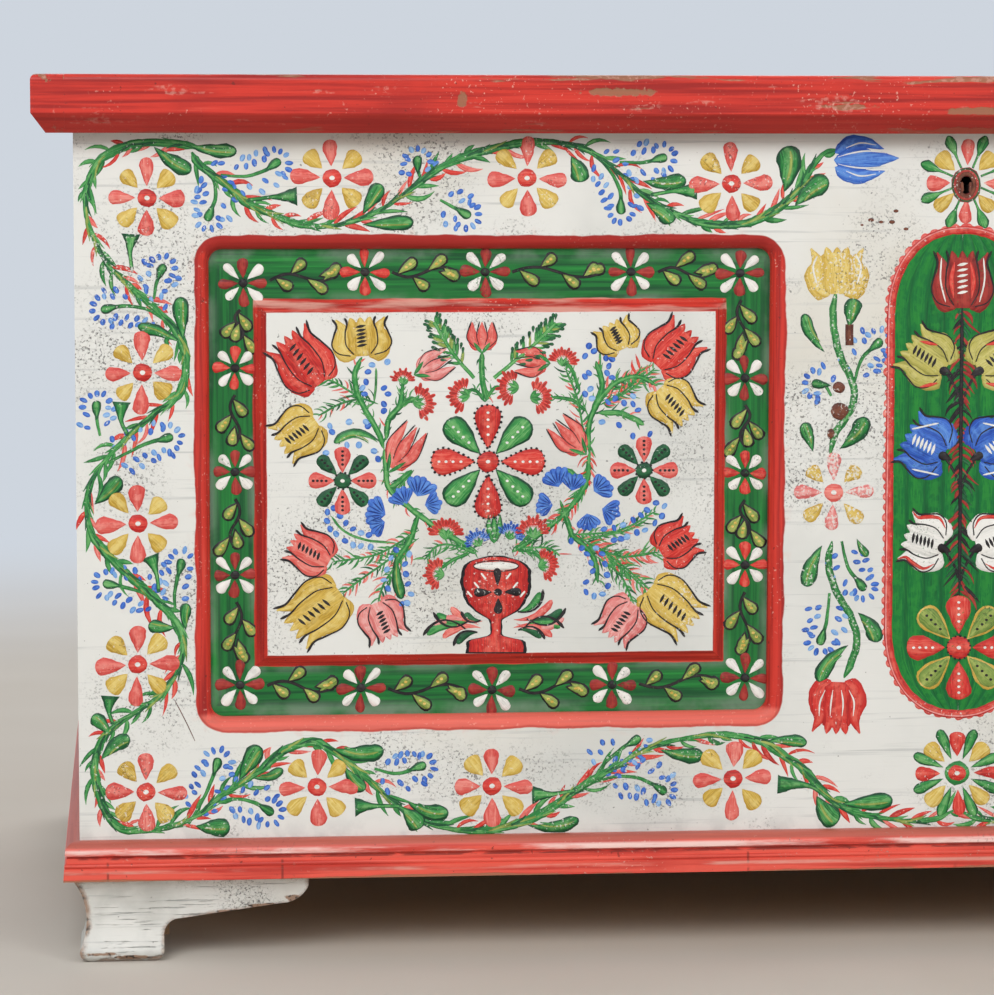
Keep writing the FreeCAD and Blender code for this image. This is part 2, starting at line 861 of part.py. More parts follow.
def hinge_leaf(side, sign):
    """The short leaf on the back, with the two outer knuckles."""
    label = f"hinge_leaf_{side}"
    body = new_body(label)
    plate = sketch_on(body, "XZ_Plane", f"{label}_outline", S.knuckle_radius)
    corner = S.ear_width
    outline(
        plate,
        [
            (-half_leaf, ZERO),
            (-half_leaf, corner - S.leaf_length, QUARTER_SHARE, 1),
            (corner - half_leaf, -S.leaf_length),
            (half_leaf - corner, -S.leaf_length, QUARTER_SHARE, 1),
            (half_leaf, corner - S.leaf_length),
            (half_leaf, ZERO),
            (ear_start, ZERO),
            (ear_start, leaf_low),
            (-ear_start, leaf_low),
            (-ear_start, ZERO),
        ],
    )
    feature(body, "Pad", plate, S.strap_thickness, back=True)
    knuckle(body, f"{label}_knuckle_a", -half_leaf, -ear_start)
    knuckle(body, f"{label}_knuckle_b", ear_start, half_leaf)
    pin_bore(body, f"{label}_bore")
    holes = sketch_on(body, "XZ_Plane", f"{label}_holes", S.knuckle_radius + S.overrun)
    places = [(half_leaf * across * 2, -S.leaf_length * down) for across, down in LEAF_NAIL_SHARES]
    nail_holes(holes, places)
    feature(body, "Pocket", holes)
    x = S.hinge_spacing * sign / 2
    place(body, x, hinge_y, hinge_z)
    node(label, body)
    outside = back_face + S.strap_thickness
    return [
        nail(f"{label}_nail_{i}", (x + across, outside, hinge_z + down), (0, -1, 0))
        for i, (across, down) in enumerate(places)
    ]


def hinge_pin(side, sign):
    label = f"hinge_pin_{side}"
    x = S.hinge_spacing * sign / 2
    along = (1, 0, 0)
    left = (x - half_leaf - S.pin_head_height, hinge_y, hinge_z)
    shaft = cylinder(f"{label}_shaft", S.pin_radius, half_leaf * 2 + S.pin_head_height * 2, left, along)
    heads = [cylinder(f"{label}_head_a", S.pin_head_radius, S.pin_head_height, left, along)]
    right = (x + half_leaf, hinge_y, hinge_z)
    heads.append(cylinder(f"{label}_head_b", S.pin_head_radius, S.pin_head_height, right, along))
    node(label, fuse(f"{label}_whole", [shaft, *heads]))


def hinges():
    strap_nails = []
    leaf_nails = []
    for side, sign in (("left", -1), ("right", 1)):
        strap_nails += hinge_strap(side, sign)
        leaf_nails += hinge_leaf(side, sign)
        hinge_pin(side, sign)
    node("hinge_strap_nails", group("strap_nail_group", strap_nails))
    node("hinge_leaf_nails", group("leaf_nail_group", leaf_nails))


# Lock

lock_face = front_inner + S.lock_plate_thickness
key_z = rim - S.keyhole_drop
bolt_y = lock_face + S.bolt_setback
bolt_z = rim - S.bolt_drop
bolt_low = bolt_z - S.bolt_height / 2
case_high = rim - S.case_drop
case_back = lock_face + S.case_depth
staple_half = S.staple_gap / 2 + S.staple_leg


def lock_plate():
    half = S.lock_width / 2
    high = rim - S.lock_drop
    low = high - S.lock_height
    plate = box("lock_plate_blank", (-half, half), (front_inner, lock_face), (low, high))
    start = front_inner - S.overrun
    through = S.lock_plate_thickness + S.overrun * 2
    holes = [cylinder("lock_plate_eye", S.keyhole_radius, through, (ZERO, start, key_z), (0, 1, 0))]
    across = around(ZERO, S.keyslot_width / 2)
    tall = (key_z - S.keyslot_length, key_z)
    holes.append(box("lock_plate_slot", across, (start, start + through), tall))
    nails = []
    for i, sign in enumerate((-1, 1)):
        for j, z in enumerate((low + S.lock_nail_inset, high - S.lock_nail_inset)):
            x = (half - S.lock_nail_inset) * sign
            deep = (start, start + through)
            hole = box(f"lock_hole_{i}{j}", around(x, nail_hole_half), deep, around(z, nail_hole_half))
            holes.append(hole)
            nails.append(nail(f"lock_nail_{i}{j}", (x, lock_face, z), (0, -1, 0)))
    node("lock_plate", cut("lock_plate_whole", plate, holes))
    node("lock_nails", group("lock_nail_group", nails))


def lock_case():
    """The box over the works, open to the plate, with a slot above for the staple."""
    half = S.case_width / 2
    low = case_high - S.case_height
    shell = box("lock_case_blank", (-half, half), (lock_face, case_back), (low, case_high))
    wall = S.case_wall
    deep = (lock_face - S.overrun, case_back - wall)
    inside = box("lock_case_inside", (wall - half, half - wall), deep, (low + wall, case_high - wall))
    across = around(S.staple_place, S.staple_width / 2 + S.staple_room)
    deep = around(bolt_y, staple_half + S.staple_room)
    slot = box("lock_case_slot", across, deep, (case_high - wall - S.overrun, case_high + S.overrun))
    node("lock_case", cut("lock_case_whole", shell, [inside, slot]))
    pin_start = lock_face + S.lock_plate_thickness
    reach = case_back - wall - pin_start
    node("key_pin", cylinder("key_pin_round", S.key_pin_radius, reach, (ZERO, pin_start, key_z), (0, 1, 0)))


def lock_bolt():
    """The sliding bolt, drawn back at rest, with the notch that the key's bit moves."""
    body = new_body("lock_bolt")
    sketch = sketch_on(body, "XZ_Plane", "bolt_outline", S.bolt_thickness / 2)
    half = S.talon_width / 2
    outline(
        sketch,
        [
            (-S.bolt_tail, ZERO),
            (-half, ZERO),
            (-half, S.talon_depth),
            (half, S.talon_depth),
            (half, ZERO),
            (S.bolt_length - S.bolt_tail, ZERO),
            (S.bolt_length - S.bolt_tail, S.bolt_height),
            (-S.bolt_tail, S.bolt_height),
        ],
    )
    feature(body, "Pad", sketch, S.bolt_thickness, back=True)
    place(body, ZERO, bolt_y, bolt_low)
    node("lock_bolt", body)


def bolt_keepers():
    keepers = []
    thick = S.bolt_thickness / 2 + S.bolt_clearance
    tall = S.bolt_height / 2 + S.bolt_clearance
    for i, x in enumerate((-S.keeper_tail_place, S.keeper_nose_place)):
        ends = around(x, S.keeper_width / 2)
        y = (lock_face, bolt_y + thick + S.keeper_wall)
        z = around(bolt_z, tall + S.keeper_wall)
        block = box(f"keeper_block_{i}", ends, y, z)
        past = around(x, S.keeper_width / 2 + S.overrun)
        window = box(f"keeper_window_{i}", past, around(bolt_y, thick), around(bolt_z, tall))
        keepers.append(cut(f"keeper_{i}", block, [window]))
    node("bolt_keepers", group("bolt_keeper_group", keepers))


def bolt_spring():
    """A bent leaf between the keepers that bears on the bolt."""
    body = new_body("bolt_spring")
    sketch = sketch_on(body, "XZ_Plane", "spring_outline", S.spring_width / 2)
    left = S.keeper_width / 2 - S.keeper_tail_place
    right = S.keeper_nose_place - S.keeper_width / 2
    middle = (left + right) / 2
    low = S.bolt_height + S.bolt_clearance
    high = S.bolt_height / 2 + S.bolt_clearance + S.keeper_wall + S.bolt_height / 2
    top = high - S.spring_thickness
    outline(
        sketch,
        [
            (left, top),
            (middle, low),
            (right, top),
            (right, high),
            (middle, low + S.spring_thickness),
            (left, high),
        ],
    )
    feature(body, "Pad", sketch, S.spring_width, back=True)
    place(body, ZERO, bolt_y, bolt_low)
    node("bolt_spring", body)


def lock_staple():
    """The plate under the lid with the loop that the bolt goes through."""
    high = rim - S.staple_plate_thickness
    along = around(S.staple_place, S.staple_plate_length / 2)
    plate = box("staple_plate", along, around(bolt_y, staple_half), (high, rim))
    low = bolt_low - S.bolt_clearance - S.staple_bar
    across = around(S.staple_place, S.staple_width / 2)
    loop = box("staple_blank", across, around(bolt_y, staple_half), (low, high))
    past = around(S.staple_place, S.staple_width / 2 + S.overrun)
    eye = box("staple_eye", past, around(bolt_y, S.staple_gap / 2), (low + S.staple_bar, high))
    nails = []
    holes = []
    for i, share in enumerate(STAPLE_NAIL_SHARES):
        x = S.staple_place + S.staple_plate_length * share
        across = [around(middle, nail_hole_half) for middle in (x, bolt_y)]
        holes.append(box(f"staple_hole_{i}", *across, (high - S.overrun, rim + S.overrun)))
        nails.append(nail(f"staple_nail_{i}", (x, bolt_y, high), (0, 0, 1)))
    loop = cut("staple_loop", loop, [eye])
    node("lock_staple", cut("staple_whole", fuse("staple_joined", [plate, loop]), holes))
    node("lock_staple_nails", group("staple_nail_group", nails))


def lock():
    lock_plate()
    lock_case()
    lock_bolt()
    bolt_keepers()
    bolt_spring()
    lock_staple()


# Till


def till():
    deep = (front_inner, back_inner)
    lid_low = rim - S.till_drop - S.till_lid_thickness
    floor = lid_low - S.till_height
    wall = S.till_width - side_inner
    under = floor - S.till_board
    node("till_front", box("till_front", (wall, wall + S.till_board), deep, (under, lid_low)))
    node("till_bottom", box("till_bottom", (-side_inner, wall), deep, (under, floor)))
    body = new_body("till_lid")
    board = sketch_on(body, "XZ_Plane", "till_lid_profile", -S.till_lid_play)
    half = S.till_lid_thickness / 2
    tail_end = S.till_wall_gap - S.till_pivot_inset
    nose = S.till_width + S.till_board + S.till_lid_nose - S.till_pivot_inset
    outline(
        board,
        [
            (tail_end, -half),
            (nose - half, -half, QUARTER_SHARE, 1),
            (nose, ZERO, QUARTER_SHARE, 1),
            (nose - half, half),
            (tail_end, half),
        ],
    )
    inside = back_inner - front_inner
    feature(body, "Pad", board, inside - S.till_lid_play * 2, back=True)
    pivots = sketch_on(body, "XZ_Plane", "till_lid_pivots", S.till_pivot_length - S.till_lid_play)
    ring(pivots, ZERO, ZERO, S.till_pivot_radius)
    feature(body, "Pad", pivots, inside + (S.till_pivot_length - S.till_lid_play) * 2, back=True)
    place(body, till_pivot_x, front_inner, till_pivot_z)
    node("till_lid", body)


def write_steps():
    """Stops on any failed object, then writes each sub-part to its own file."""
    doc.recompute()
    failed = [o.Label for o in doc.Objects if {"Invalid", "Error"} & set(o.State)]
    failed += [n.Label for n in nodes if n.Shape.isNull() or not n.Shape.isValid()]
    if failed:
        raise RuntimeError(f"these objects failed: {failed}")
    os.makedirs("parts", exist_ok=True)
    for made in nodes:
        made.Shape.exportStep(f"parts/{made.Label}.step")


carcase()
base()
lid()
hinges()
lock()
till()
write_steps()
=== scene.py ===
# A painted dowry chest: materials, painted ornament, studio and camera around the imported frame.
import math

import bmesh
import bpy
import numpy as np
from mathutils import Matrix, Vector


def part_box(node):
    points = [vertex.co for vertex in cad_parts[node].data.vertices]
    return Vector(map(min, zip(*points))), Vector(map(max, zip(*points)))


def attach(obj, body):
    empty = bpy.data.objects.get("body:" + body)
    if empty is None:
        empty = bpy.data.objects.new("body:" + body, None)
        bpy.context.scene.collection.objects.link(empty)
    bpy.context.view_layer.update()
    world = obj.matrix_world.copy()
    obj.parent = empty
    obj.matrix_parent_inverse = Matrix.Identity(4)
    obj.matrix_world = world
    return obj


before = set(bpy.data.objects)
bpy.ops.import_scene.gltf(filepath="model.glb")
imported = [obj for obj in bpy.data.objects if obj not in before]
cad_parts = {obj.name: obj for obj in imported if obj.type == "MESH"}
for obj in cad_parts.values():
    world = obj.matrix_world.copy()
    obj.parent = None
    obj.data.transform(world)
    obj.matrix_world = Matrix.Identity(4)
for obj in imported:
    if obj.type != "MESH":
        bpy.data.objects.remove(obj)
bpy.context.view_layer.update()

MM = 0.001
TINY = 1e-9

# Picture and camera
IMAGE_WIDTH = 994
IMAGE_HEIGHT = 995
SENSOR_HEIGHT = 36.0
FOCAL_PIXELS = 3807.6
EYE = np.array((-0.5534, -2.8141, 0.5922))
YAW = math.radians(5.291)
PITCH = math.radians(6.203)
ROLL = math.radians(0.13)
DRAWING_UNIT = 0.676 * MM

# Rubbed places of the white paint in the picture: place and reach
FRONT_RUBBED = (
    (140, 705, 70), (150, 230, 70), (120, 480, 60), (800, 410, 60), (815, 480, 60), (885, 250, 60),
    (130, 350, 45),
)
FIELD_RUBBED = (
    (305, 570, 75), (340, 520, 60), (690, 410, 55), (430, 600, 70), (600, 560, 60), (290, 400, 45),
)

# Bare spots of the lid's edge in the picture: place, reach across and reach up; joints of the base moulding
LID_BARE = (
    (620, 92, 34, 4.5), (850, 107, 24, 3.0), (972, 111, 26, 4.0), (965, 131, 36, 4.0), (462, 100, 5, 8.0),
)
BASE_SEAMS = (109, 283, 747)
FOOT_CHIPS = (
    (270, 908, 24, 2.6), (293, 900, 8, 3.6), (238, 914, 20, 2.0), (100, 956, 14, 2.6), (136, 959, 20, 2.0),
)
KEYHOLE = (967.0, 182.0)

# Faces of the chest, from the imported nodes
board_low, board_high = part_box("front_board")
lid_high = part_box("lid_plank_middle")[1]
lid_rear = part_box("lid_plank_rear")[1].y
lid_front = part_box("lid_plank_front")[0].y
side_low, side_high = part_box("side_board_right")
base_low, base_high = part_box("base_moulding_front")
moulding_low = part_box("lid_moulding_front")[0]
FRONT_FACE = board_low.y
MARGIN_SUNK = 9.0 * MM
FIELD_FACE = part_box("fielded_panel_left")[0].y
STILE_END = 89.0 * MM
STILE_MIDDLE = 264.0 * MM
RAIL_LOW = 86.5 * MM
RAIL_HIGH = 92.0 * MM
RIM_WIDTH = 8.7 * MM
CORNER_RADIUS = 9.0 * MM
BEVEL_INSET_X = 30.0 * MM
BEVEL_INSET_Z = 34.0 * MM
BEVEL_WIDTH = 8.0 * MM
WINDOW_X = (
    (STILE_MIDDLE / 2 + board_high.x - STILE_END) / 2, (board_high.x - STILE_END - STILE_MIDDLE / 2) / 2,
)
WINDOW_Z = (
    (board_low.z + RAIL_LOW + board_high.z - RAIL_HIGH) / 2,
    (board_high.z - RAIL_HIGH - board_low.z - RAIL_LOW) / 2,
)


def camera_axes():
    """The camera's right, up and forward directions."""
    forward = np.array((
        math.sin(YAW) * math.cos(PITCH),
        math.cos(YAW) * math.cos(PITCH),
        -math.sin(PITCH),
    ))
    level = np.array((math.cos(YAW), -math.sin(YAW), 0.0))
    upward = np.cross(level, forward)
    right = math.cos(ROLL) * level + math.sin(ROLL) * upward
    up = math.cos(ROLL) * upward - math.sin(ROLL) * level
    return right, up, forward


RIGHT, UP, FORWARD = camera_axes()


def on_face(points, depth):
    """Where the picture's points lie on an upright face at that depth."""
    across = (points[:, :1] - IMAGE_WIDTH / 2) / FOCAL_PIXELS
    down = (points[:, 1:] - IMAGE_HEIGHT / 2) / FOCAL_PIXELS
    rays = FORWARD + across * RIGHT - down * UP
    return EYE + rays * ((depth - EYE[1]) / rays[:, 1])[:, None]


def rubbed_places(places, depth):
    """Middle and reach of each rubbed place of a face, from its place in the picture."""
    spots = on_face(np.array(places, float)[:, :2], depth)
    return [(tuple(spot), reach * DRAWING_UNIT) for spot, (*_, reach) in zip(spots, places)]


def make_camera():
    """The camera that stands where the photographer stood."""
    lens = bpy.data.cameras.new("camera")
    lens.sensor_fit = "VERTICAL"
    lens.sensor_height = SENSOR_HEIGHT
    lens.lens = FOCAL_PIXELS * SENSOR_HEIGHT / IMAGE_HEIGHT
    camera = bpy.data.objects.new("camera", lens)
    turn = Matrix((RIGHT, UP, -FORWARD)).transposed().to_4x4()
    camera.matrix_world = Matrix.Translation(Vector(EYE)) @ turn
    bpy.context.collection.objects.link(camera)
    bpy.context.scene.camera = camera


def tint(red, green, blue):
    """A colour as it is seen on a screen, 0 to 255, in linear numbers."""
    shares = [value / 255 for value in (red, green, blue)]
    linear = [s / 12.92 if s <= 0.04045 else ((s + 0.055) / 1.055) ** 2.4 for s in shares]
    return (*linear, 1.0)


# Colours
WHITE = tint(229, 229, 224)
WHITE_DULL = tint(211, 212, 207)
WHITE_GREY = tint(178, 180, 178)
WHITE_STAIN = tint(214, 207, 190)
FOOT_WHITE = tint(186, 187, 181)
SPECK = tint(52, 47, 45)
RED = tint(212, 58, 46)
RED_DARK = tint(160, 38, 34)
RED_LIGHT = tint(228, 92, 76)
RED_PALE = tint(226, 170, 155)
RED_BROWN = tint(112, 42, 36)
# Painted highlight of the rims' lower, upward-facing sides
RIM_PAINTED_HIGHLIGHT = tint(244, 128, 112)
# Painted shade of the lid's chamfer
CHAMFER_PAINTED_SHADE = tint(146, 36, 30)
BASE_RED = tint(232, 92, 76)
BASE_DARK = tint(194, 60, 50)
BASE_DULL = tint(172, 104, 90)
# Pale of the bead: rubbed paint with a painted highlight
BEAD_RUB_AND_HIGHLIGHT = tint(248, 214, 206)
GREEN = tint(28, 114, 50)
GREEN_DARK = tint(16, 78, 40)
GREEN_LIGHT = tint(44, 146, 62)
GREEN_GREY = tint(122, 146, 126)
PINE = tint(206, 164, 110)
PINE_DARK = tint(164, 116, 70)
PINE_OLD = tint(128, 98, 70)
PINE_SEAM = tint(70, 52, 40)
BLOCK_DARK = tint(84, 64, 48)
WOOD_BARE = tint(150, 112, 84)
IRON = tint(58, 55, 54)
IRON_DARK = tint(32, 30, 31)
IRON_RUST = tint(104, 66, 46)
BACKDROP = tint(206, 213, 222)
FLOOR = tint(214, 208, 199)
FLOOR_DARK = tint(206, 199, 189)

# Gloss of all surfaces, and depth of the relief of each
SPECULAR_LEVEL = 0.3
PAINT_RELIEF = 0.35 * MM
FOOT_RELIEF = 0.7 * MM
EDGE_RELIEF = 0.5 * MM
WOOD_RELIEF = 0.4 * MM
IRON_RELIEF = 0.6 * MM
BRUSH_RELIEF = 0.25 * MM
FLOOR_RELIEF = 0.2 * MM

# Marks of paint and wear, and of painted shade and painted highlights: their sizes, and as pairs where each
# starts and where it is full
SEAM_FADE = (1.5 * MM, 0.3 * MM)
MITRE_FADE = (-2.0 * MM, 2.0 * MM)
RIM_WOBBLE = 6.0 * MM
RIM_LIGHT_FADE = 4.0 * MM
RIM_SMEAR = (17.0 * MM, 9.0 * MM)
RIM_PAINT = (RIM_WIDTH + 1.6 * MM, RIM_WIDTH + 0.6 * MM)
RIM_OUTLINE = (RIM_WIDTH - 1.2 * MM, RIM_WIDTH + 0.4 * MM)
DIRT_HEIGHT = 24.0 * MM
BARE_INSIDE = (FRONT_FACE + MARGIN_SUNK + 0.2 * MM, FRONT_FACE + MARGIN_SUNK + 0.6 * MM)
BARE_BEHIND = (FRONT_FACE + MARGIN_SUNK + 0.4 * MM, FRONT_FACE + MARGIN_SUNK + 0.8 * MM)
BARE_ENDS = (board_high.x - 0.3 * MM, board_high.x - 0.6 * MM)
BARE_SIDES = (board_high.x - 0.3 * MM, board_high.x - 0.8 * MM)
BARE_BELOW = (lid_high.z - 0.3 * MM, lid_high.z - 0.8 * MM)
HOLE_SHADE_REACH = (40.0 * MM, 36.0 * MM)
BEVEL_CORNER = 0.5 * MM
BEVEL_WOBBLE = 3.0 * MM
BEVEL_OUTER = (1.0 * MM, 0.0)
BEVEL_INNER = (-BEVEL_WIDTH + 0.3 * MM, -BEVEL_WIDTH - 0.5 * MM)
BEVEL_TOP_HIGHLIGHT = (-9.0 * MM, -7.0 * MM)
BEVEL_HIGHLIGHT_RISE = 20.0 * MM
BAND_DUST = (7.0 * MM, 16.0 * MM)
BAND_PAINTED_SHADE = (16.0 * MM, 30.0 * MM)
RELIEF_CHANGE = (-1.0 * MM, 0.0)
FOOT_RAGGED = 22.0 * MM
FOOT_BARE = (3.5 * MM, 1.5 * MM)
FOOT_GREY = (14.0 * MM, 0.0)
FOOT_EDGE = 7.0 * MM
LID_TOP_EDGE = (lid_high.z - 9.0 * MM, lid_high.z - 1.0 * MM)
LID_LOW_EDGE = (moulding_low.z + 7.0 * MM, moulding_low.z + 1.0 * MM)
LID_CHAMFER_SHADE = (moulding_low.z + 14.0 * MM, moulding_low.z + 11.0 * MM)
BASE_SLOPE = (21.0 * MM, 23.5 * MM)
BASE_BEAD = 19.0 * MM
BEAD_FADE = (3.2 * MM, 1.0 * MM)
BASE_GROOVE = 15.2 * MM
GROOVE_FADE = (1.3 * MM, 0.5 * MM)
BASE_SEAM_FADE = (1.2 * MM, 0.3 * MM)
BASE_SEAM_TOP = (14.0 * MM, 12.0 * MM)
BASE_RAGGED = 11.0 * MM
BASE_CHIPS = (-4.6 * MM, -5.6 * MM)
BASE_SHINE = 6.0 * MM
SHINE_FADE = (1.8 * MM, 0.4 * MM)
WELD_REACH = 0.01 * MM

# Brush colours: dark, main and light of each
BRUSHES = {
    "green": (tint(26, 92, 48), tint(40, 128, 62), tint(98, 172, 98)),
    "leaf": (tint(24, 96, 46), tint(44, 140, 66), tint(128, 188, 118)),
    "emerald": (tint(6, 82, 40), tint(10, 108, 50), tint(40, 138, 52)),
    "forest": (tint(16, 58, 38), tint(26, 82, 50), tint(58, 122, 78)),
    "red": (tint(168, 34, 34), tint(212, 50, 44), tint(232, 112, 96)),
    "coral": (tint(202, 66, 62), tint(222, 92, 84), tint(238, 152, 140)),
    "pink": (tint(204, 92, 92), tint(224, 128, 124), tint(240, 186, 180)),
    "ochre": (tint(182, 144, 50), tint(214, 180, 82), tint(232, 212, 136)),
    "straw": (tint(146, 142, 66), tint(188, 180, 92), tint(212, 204, 134)),
    "blue": (tint(34, 72, 164), tint(56, 104, 200), tint(104, 154, 224)),
    "sky": (tint(72, 128, 202), tint(116, 164, 222), tint(164, 200, 236)),
    "navy": (tint(16, 34, 96), tint(24, 50, 126), tint(44, 80, 160)),
    "maroon": (tint(112, 34, 34), tint(152, 44, 40), tint(182, 70, 60)),
    "olive": (tint(86, 116, 50), tint(126, 152, 72), tint(176, 188, 104)),
    "black": (tint(18, 16, 20), tint(30, 26, 30), tint(58, 52, 52)),
    "brown": (tint(72, 36, 28), tint(104, 54, 40), tint(136, 84, 62)),
    "white": (tint(206, 206, 200), tint(234, 232, 226), tint(244, 243, 238)),
}


class Nodes:
    """A node tree in the making, with short ways to add and join its nodes."""

    def __init__(self, tree):
        self.tree = tree

    def feed(self, socket, value):
        """Joins a socket to another one, or sets it."""
        if isinstance(value, bpy.types.NodeSocket):
            self.tree.links.new(value, socket)
        else:
            socket.default_value = value

    def add(self, kind, sockets=None, **settings):
        """A new node of that kind."""
        node = self.tree.nodes.new("ShaderNode" + kind)
        for name, value in settings.items():
            setattr(node, name, value)
        for key, value in (sockets or {}).items():
            self.feed(node.inputs[key], value)
        return node

    def calc(self, operation, first, second=0.0, third=0.0):
        """A sum on numbers."""
        return self.add("Math", {0: first, 1: second, 2: third}, operation=operation).outputs[0]

    def either(self, first, second):
        """Where one mask or the other is."""
        return self.calc("MAXIMUM", first, second)


class Paint(Nodes):
    """A material in the making."""

    def __init__(self, name):
        self.material = bpy.data.materials.new(name)
        self.material.use_nodes = True
        super().__init__(self.material.node_tree)
        self.shader = self.tree.nodes["Principled BSDF"]
        self.place = self.add("TexCoord").outputs["Object"]
        self.x, self.y, self.z = self.add("SeparateXYZ", {0: self.place}).outputs

    def times(self, first, second):
        """One number times another."""
        return self.calc("MULTIPLY", first, second)

    def plus(self, first, second):
        """One number and another."""
        return self.calc("ADD", first, second)

    def minus(self, first, second):
        """One number less another."""
        return self.calc("SUBTRACT", first, second)

    def size(self, value):
        """A number without its sign."""
        return self.calc("ABSOLUTE", value)

    def apart(self, first, second):
        """How far one number is from another."""
        return self.size(self.minus(first, second))

    def ragged(self, scale, detail, reach):
        """Noise to both sides of zero."""
        return self.times(self.minus(self.noise(scale, detail), 0.5), reach)

    def facing(self):
        """The three parts of the direction that the surface faces."""
        return self.add("SeparateXYZ", {0: self.add("NewGeometry").outputs["Normal"]}).outputs

    def both(self, first, second):
        """Where both masks are."""
        return self.calc("MULTIPLY", first, second)

    def fade(self, value, low, high):
        """From 0 at low to 1 at high, eased."""
        sockets = {"Value": value, "From Min": low, "From Max": high}
        return self.add("MapRange", sockets, interpolation_type="SMOOTHSTEP").outputs["Result"]

    def stretch(self, shares, vector=None):
        """The place, stretched along each axis."""
        sockets = {0: self.place if vector is None else vector, 1: shares}
        return self.add("VectorMath", sockets, operation="MULTIPLY").outputs[0]

    def noise(self, scale, detail=3.0, vector=None, roughness=0.55, distortion=0.0):
        """Soft noise, with so many waves to the metre."""
        sockets = {
            "Vector": self.place if vector is None else vector,
            "Scale": scale,
            "Detail": detail,
            "Roughness": roughness,
            "Distortion": distortion,
        }
        return self.add("TexNoise", sockets).outputs[0]

    def streaks(self, waves, detail=4.0, vector=None, **settings):
        """Noise with its own number of waves to the metre along each axis."""
        return self.noise(1.0, detail, self.stretch(waves, vector), **settings)

    def blotches(self, scale, detail, low, high):
        """A mask made of noise: none at low, full at high."""
        return self.fade(self.noise(scale, detail), low, high)

    def cracks(self, scale):
        """Distance to the nearest crack of a net of cracks."""
        sockets = {"Vector": self.place, "Scale": scale}
        return self.add("TexVoronoi", sockets, feature="DISTANCE_TO_EDGE").outputs["Distance"]

    def blend(self, share, first, second):
        """One number where the share is 0, the other where it is 1."""
        return self.add("Mix", {0: share, 2: first, 3: second}).outputs[0]

    def mix(self, factor, first, second):
        """One colour where the factor is 0, the other where it is 1."""
        node = self.add("Mix", data_type="RGBA")
        for index, value in ((0, factor), (6, first), (7, second)):
            self.feed(node.inputs[index], value)
        return node.outputs[2]

    def over(self, colour, other, mask, share):
        """A colour with a share of another laid over it where the mask is."""
        return self.mix(self.times(mask, share), colour, other)

    def done(self, colour, roughness, height, depth, strength=0.6):
        """Joins colour, gloss and relief to the shader."""
        self.feed(self.shader.inputs["Base Color"], colour)
        self.feed(self.shader.inputs["Roughness"], roughness)
        self.shader.inputs["Specular IOR Level"].default_value = SPECULAR_LEVEL
        bump = self.add("Bump", {"Strength": strength, "Distance": depth, "Height": height})
        self.feed(self.shader.inputs["Normal"], bump.outputs[0])
        return self.material


def frame_distance(p, middle_x, middle_z, half_x, half_z, radius):
    """Distance from the edge of an upright rounded rectangle: below zero inside it."""
    across = p.size(p.x)
    reach_x = p.minus(p.apart(across, middle_x), half_x - radius)
    reach_z = p.minus(p.apart(p.z, middle_z), half_z - radius)
    out_x = p.calc("MAXIMUM", reach_x, 0.0)
    out_z = p.calc("MAXIMUM", reach_z, 0.0)
    outside = p.calc("SQRT", p.plus(p.times(out_x, out_x), p.times(out_z, out_z)))
    inside = p.calc("MINIMUM", p.calc("MAXIMUM", reach_x, reach_z), 0.0)
    return p.minus(p.plus(outside, inside), radius), reach_x, reach_z


def white_coat(p, speck_share=1.0, rubbed=()):
    """Old white paint: grain lines, grey clouds, crackle and dark specks. Gives colour and relief."""
    mirrored = p.add("CombineXYZ", {0: p.times(p.size(p.x), -1.0), 1: p.y, 2: p.z}).outputs[0]
    lines = p.streaks((9.0, 9.0, 330.0))
    clouds = p.noise(6.0, 5.0)
    patches = p.fade(p.noise(8.5, 4.0, p.stretch((1.0, 1.0, 1.3))), 0.50, 0.66)
    for spot, reach in rubbed:
        way = p.add("VectorMath", {0: mirrored, 1: spot}, operation="SUBTRACT").outputs[0]
        away = p.add("VectorMath", {0: way}, operation="LENGTH").outputs["Value"]
        rubs = p.both(p.fade(away, reach, reach * 0.3), p.blotches(40.0, 4.0, 0.34, 0.56))
        patches = p.either(patches, rubs)
    colour = p.mix(p.fade(clouds, 0.42, 0.72), WHITE, WHITE_DULL)
    colour = p.over(colour, WHITE_STAIN, p.blotches(4.5, 5.0, 0.52, 0.74), 0.5)
    colour = p.over(colour, WHITE_GREY, p.fade(lines, 0.58, 0.74), 0.55)
    crackle = p.both(p.fade(p.cracks(210.0), 0.03, 0.0), patches)
    colour = p.over(colour, SPECK, crackle, 0.14 * speck_share)
    specks = p.both(p.blotches(640.0, 2.0, 0.575, 0.645), patches)
    colour = p.over(colour, SPECK, specks, 0.72 * speck_share)
    strays = p.blotches(330.0, 1.0, 0.755, 0.79)
    colour = p.over(colour, SPECK, strays, 0.6)
    height = p.minus(p.times(lines, 0.6), p.plus(crackle, specks))
    return colour, height


def worn_spots(p, places, depth):
    """Ragged worn spots of a face, the same on both halves."""
    across = p.times(p.size(p.x), -1.0)
    ragged = p.ragged(130.0, 4.0, 2.2)
    mask = 0.0
    for spot, place in zip(on_face(np.array(places, float)[:, :2], depth), places):
        far_x = p.calc("DIVIDE", p.minus(across, spot[0]), place[2] * DRAWING_UNIT)
        far_z = p.calc("DIVIDE", p.minus(p.z, spot[2]), place[3] * DRAWING_UNIT)
        away = p.calc("SQRT", p.plus(p.both(far_x, far_x), p.both(far_z, far_z)))
        mask = p.either(mask, p.fade(p.plus(away, ragged), 1.05, 0.75))
    return mask


def seam_lines(p, name, axis):
    """Dark lines along the two long edges of a plank."""
    low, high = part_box(name)
    half = (high[axis] - low[axis]) / 2
    place = (p.x, p.y, p.z)[axis]
    off_middle = p.apart(place, low[axis] + half)
    return p.fade(off_middle, half - SEAM_FADE[0], half - SEAM_FADE[1])


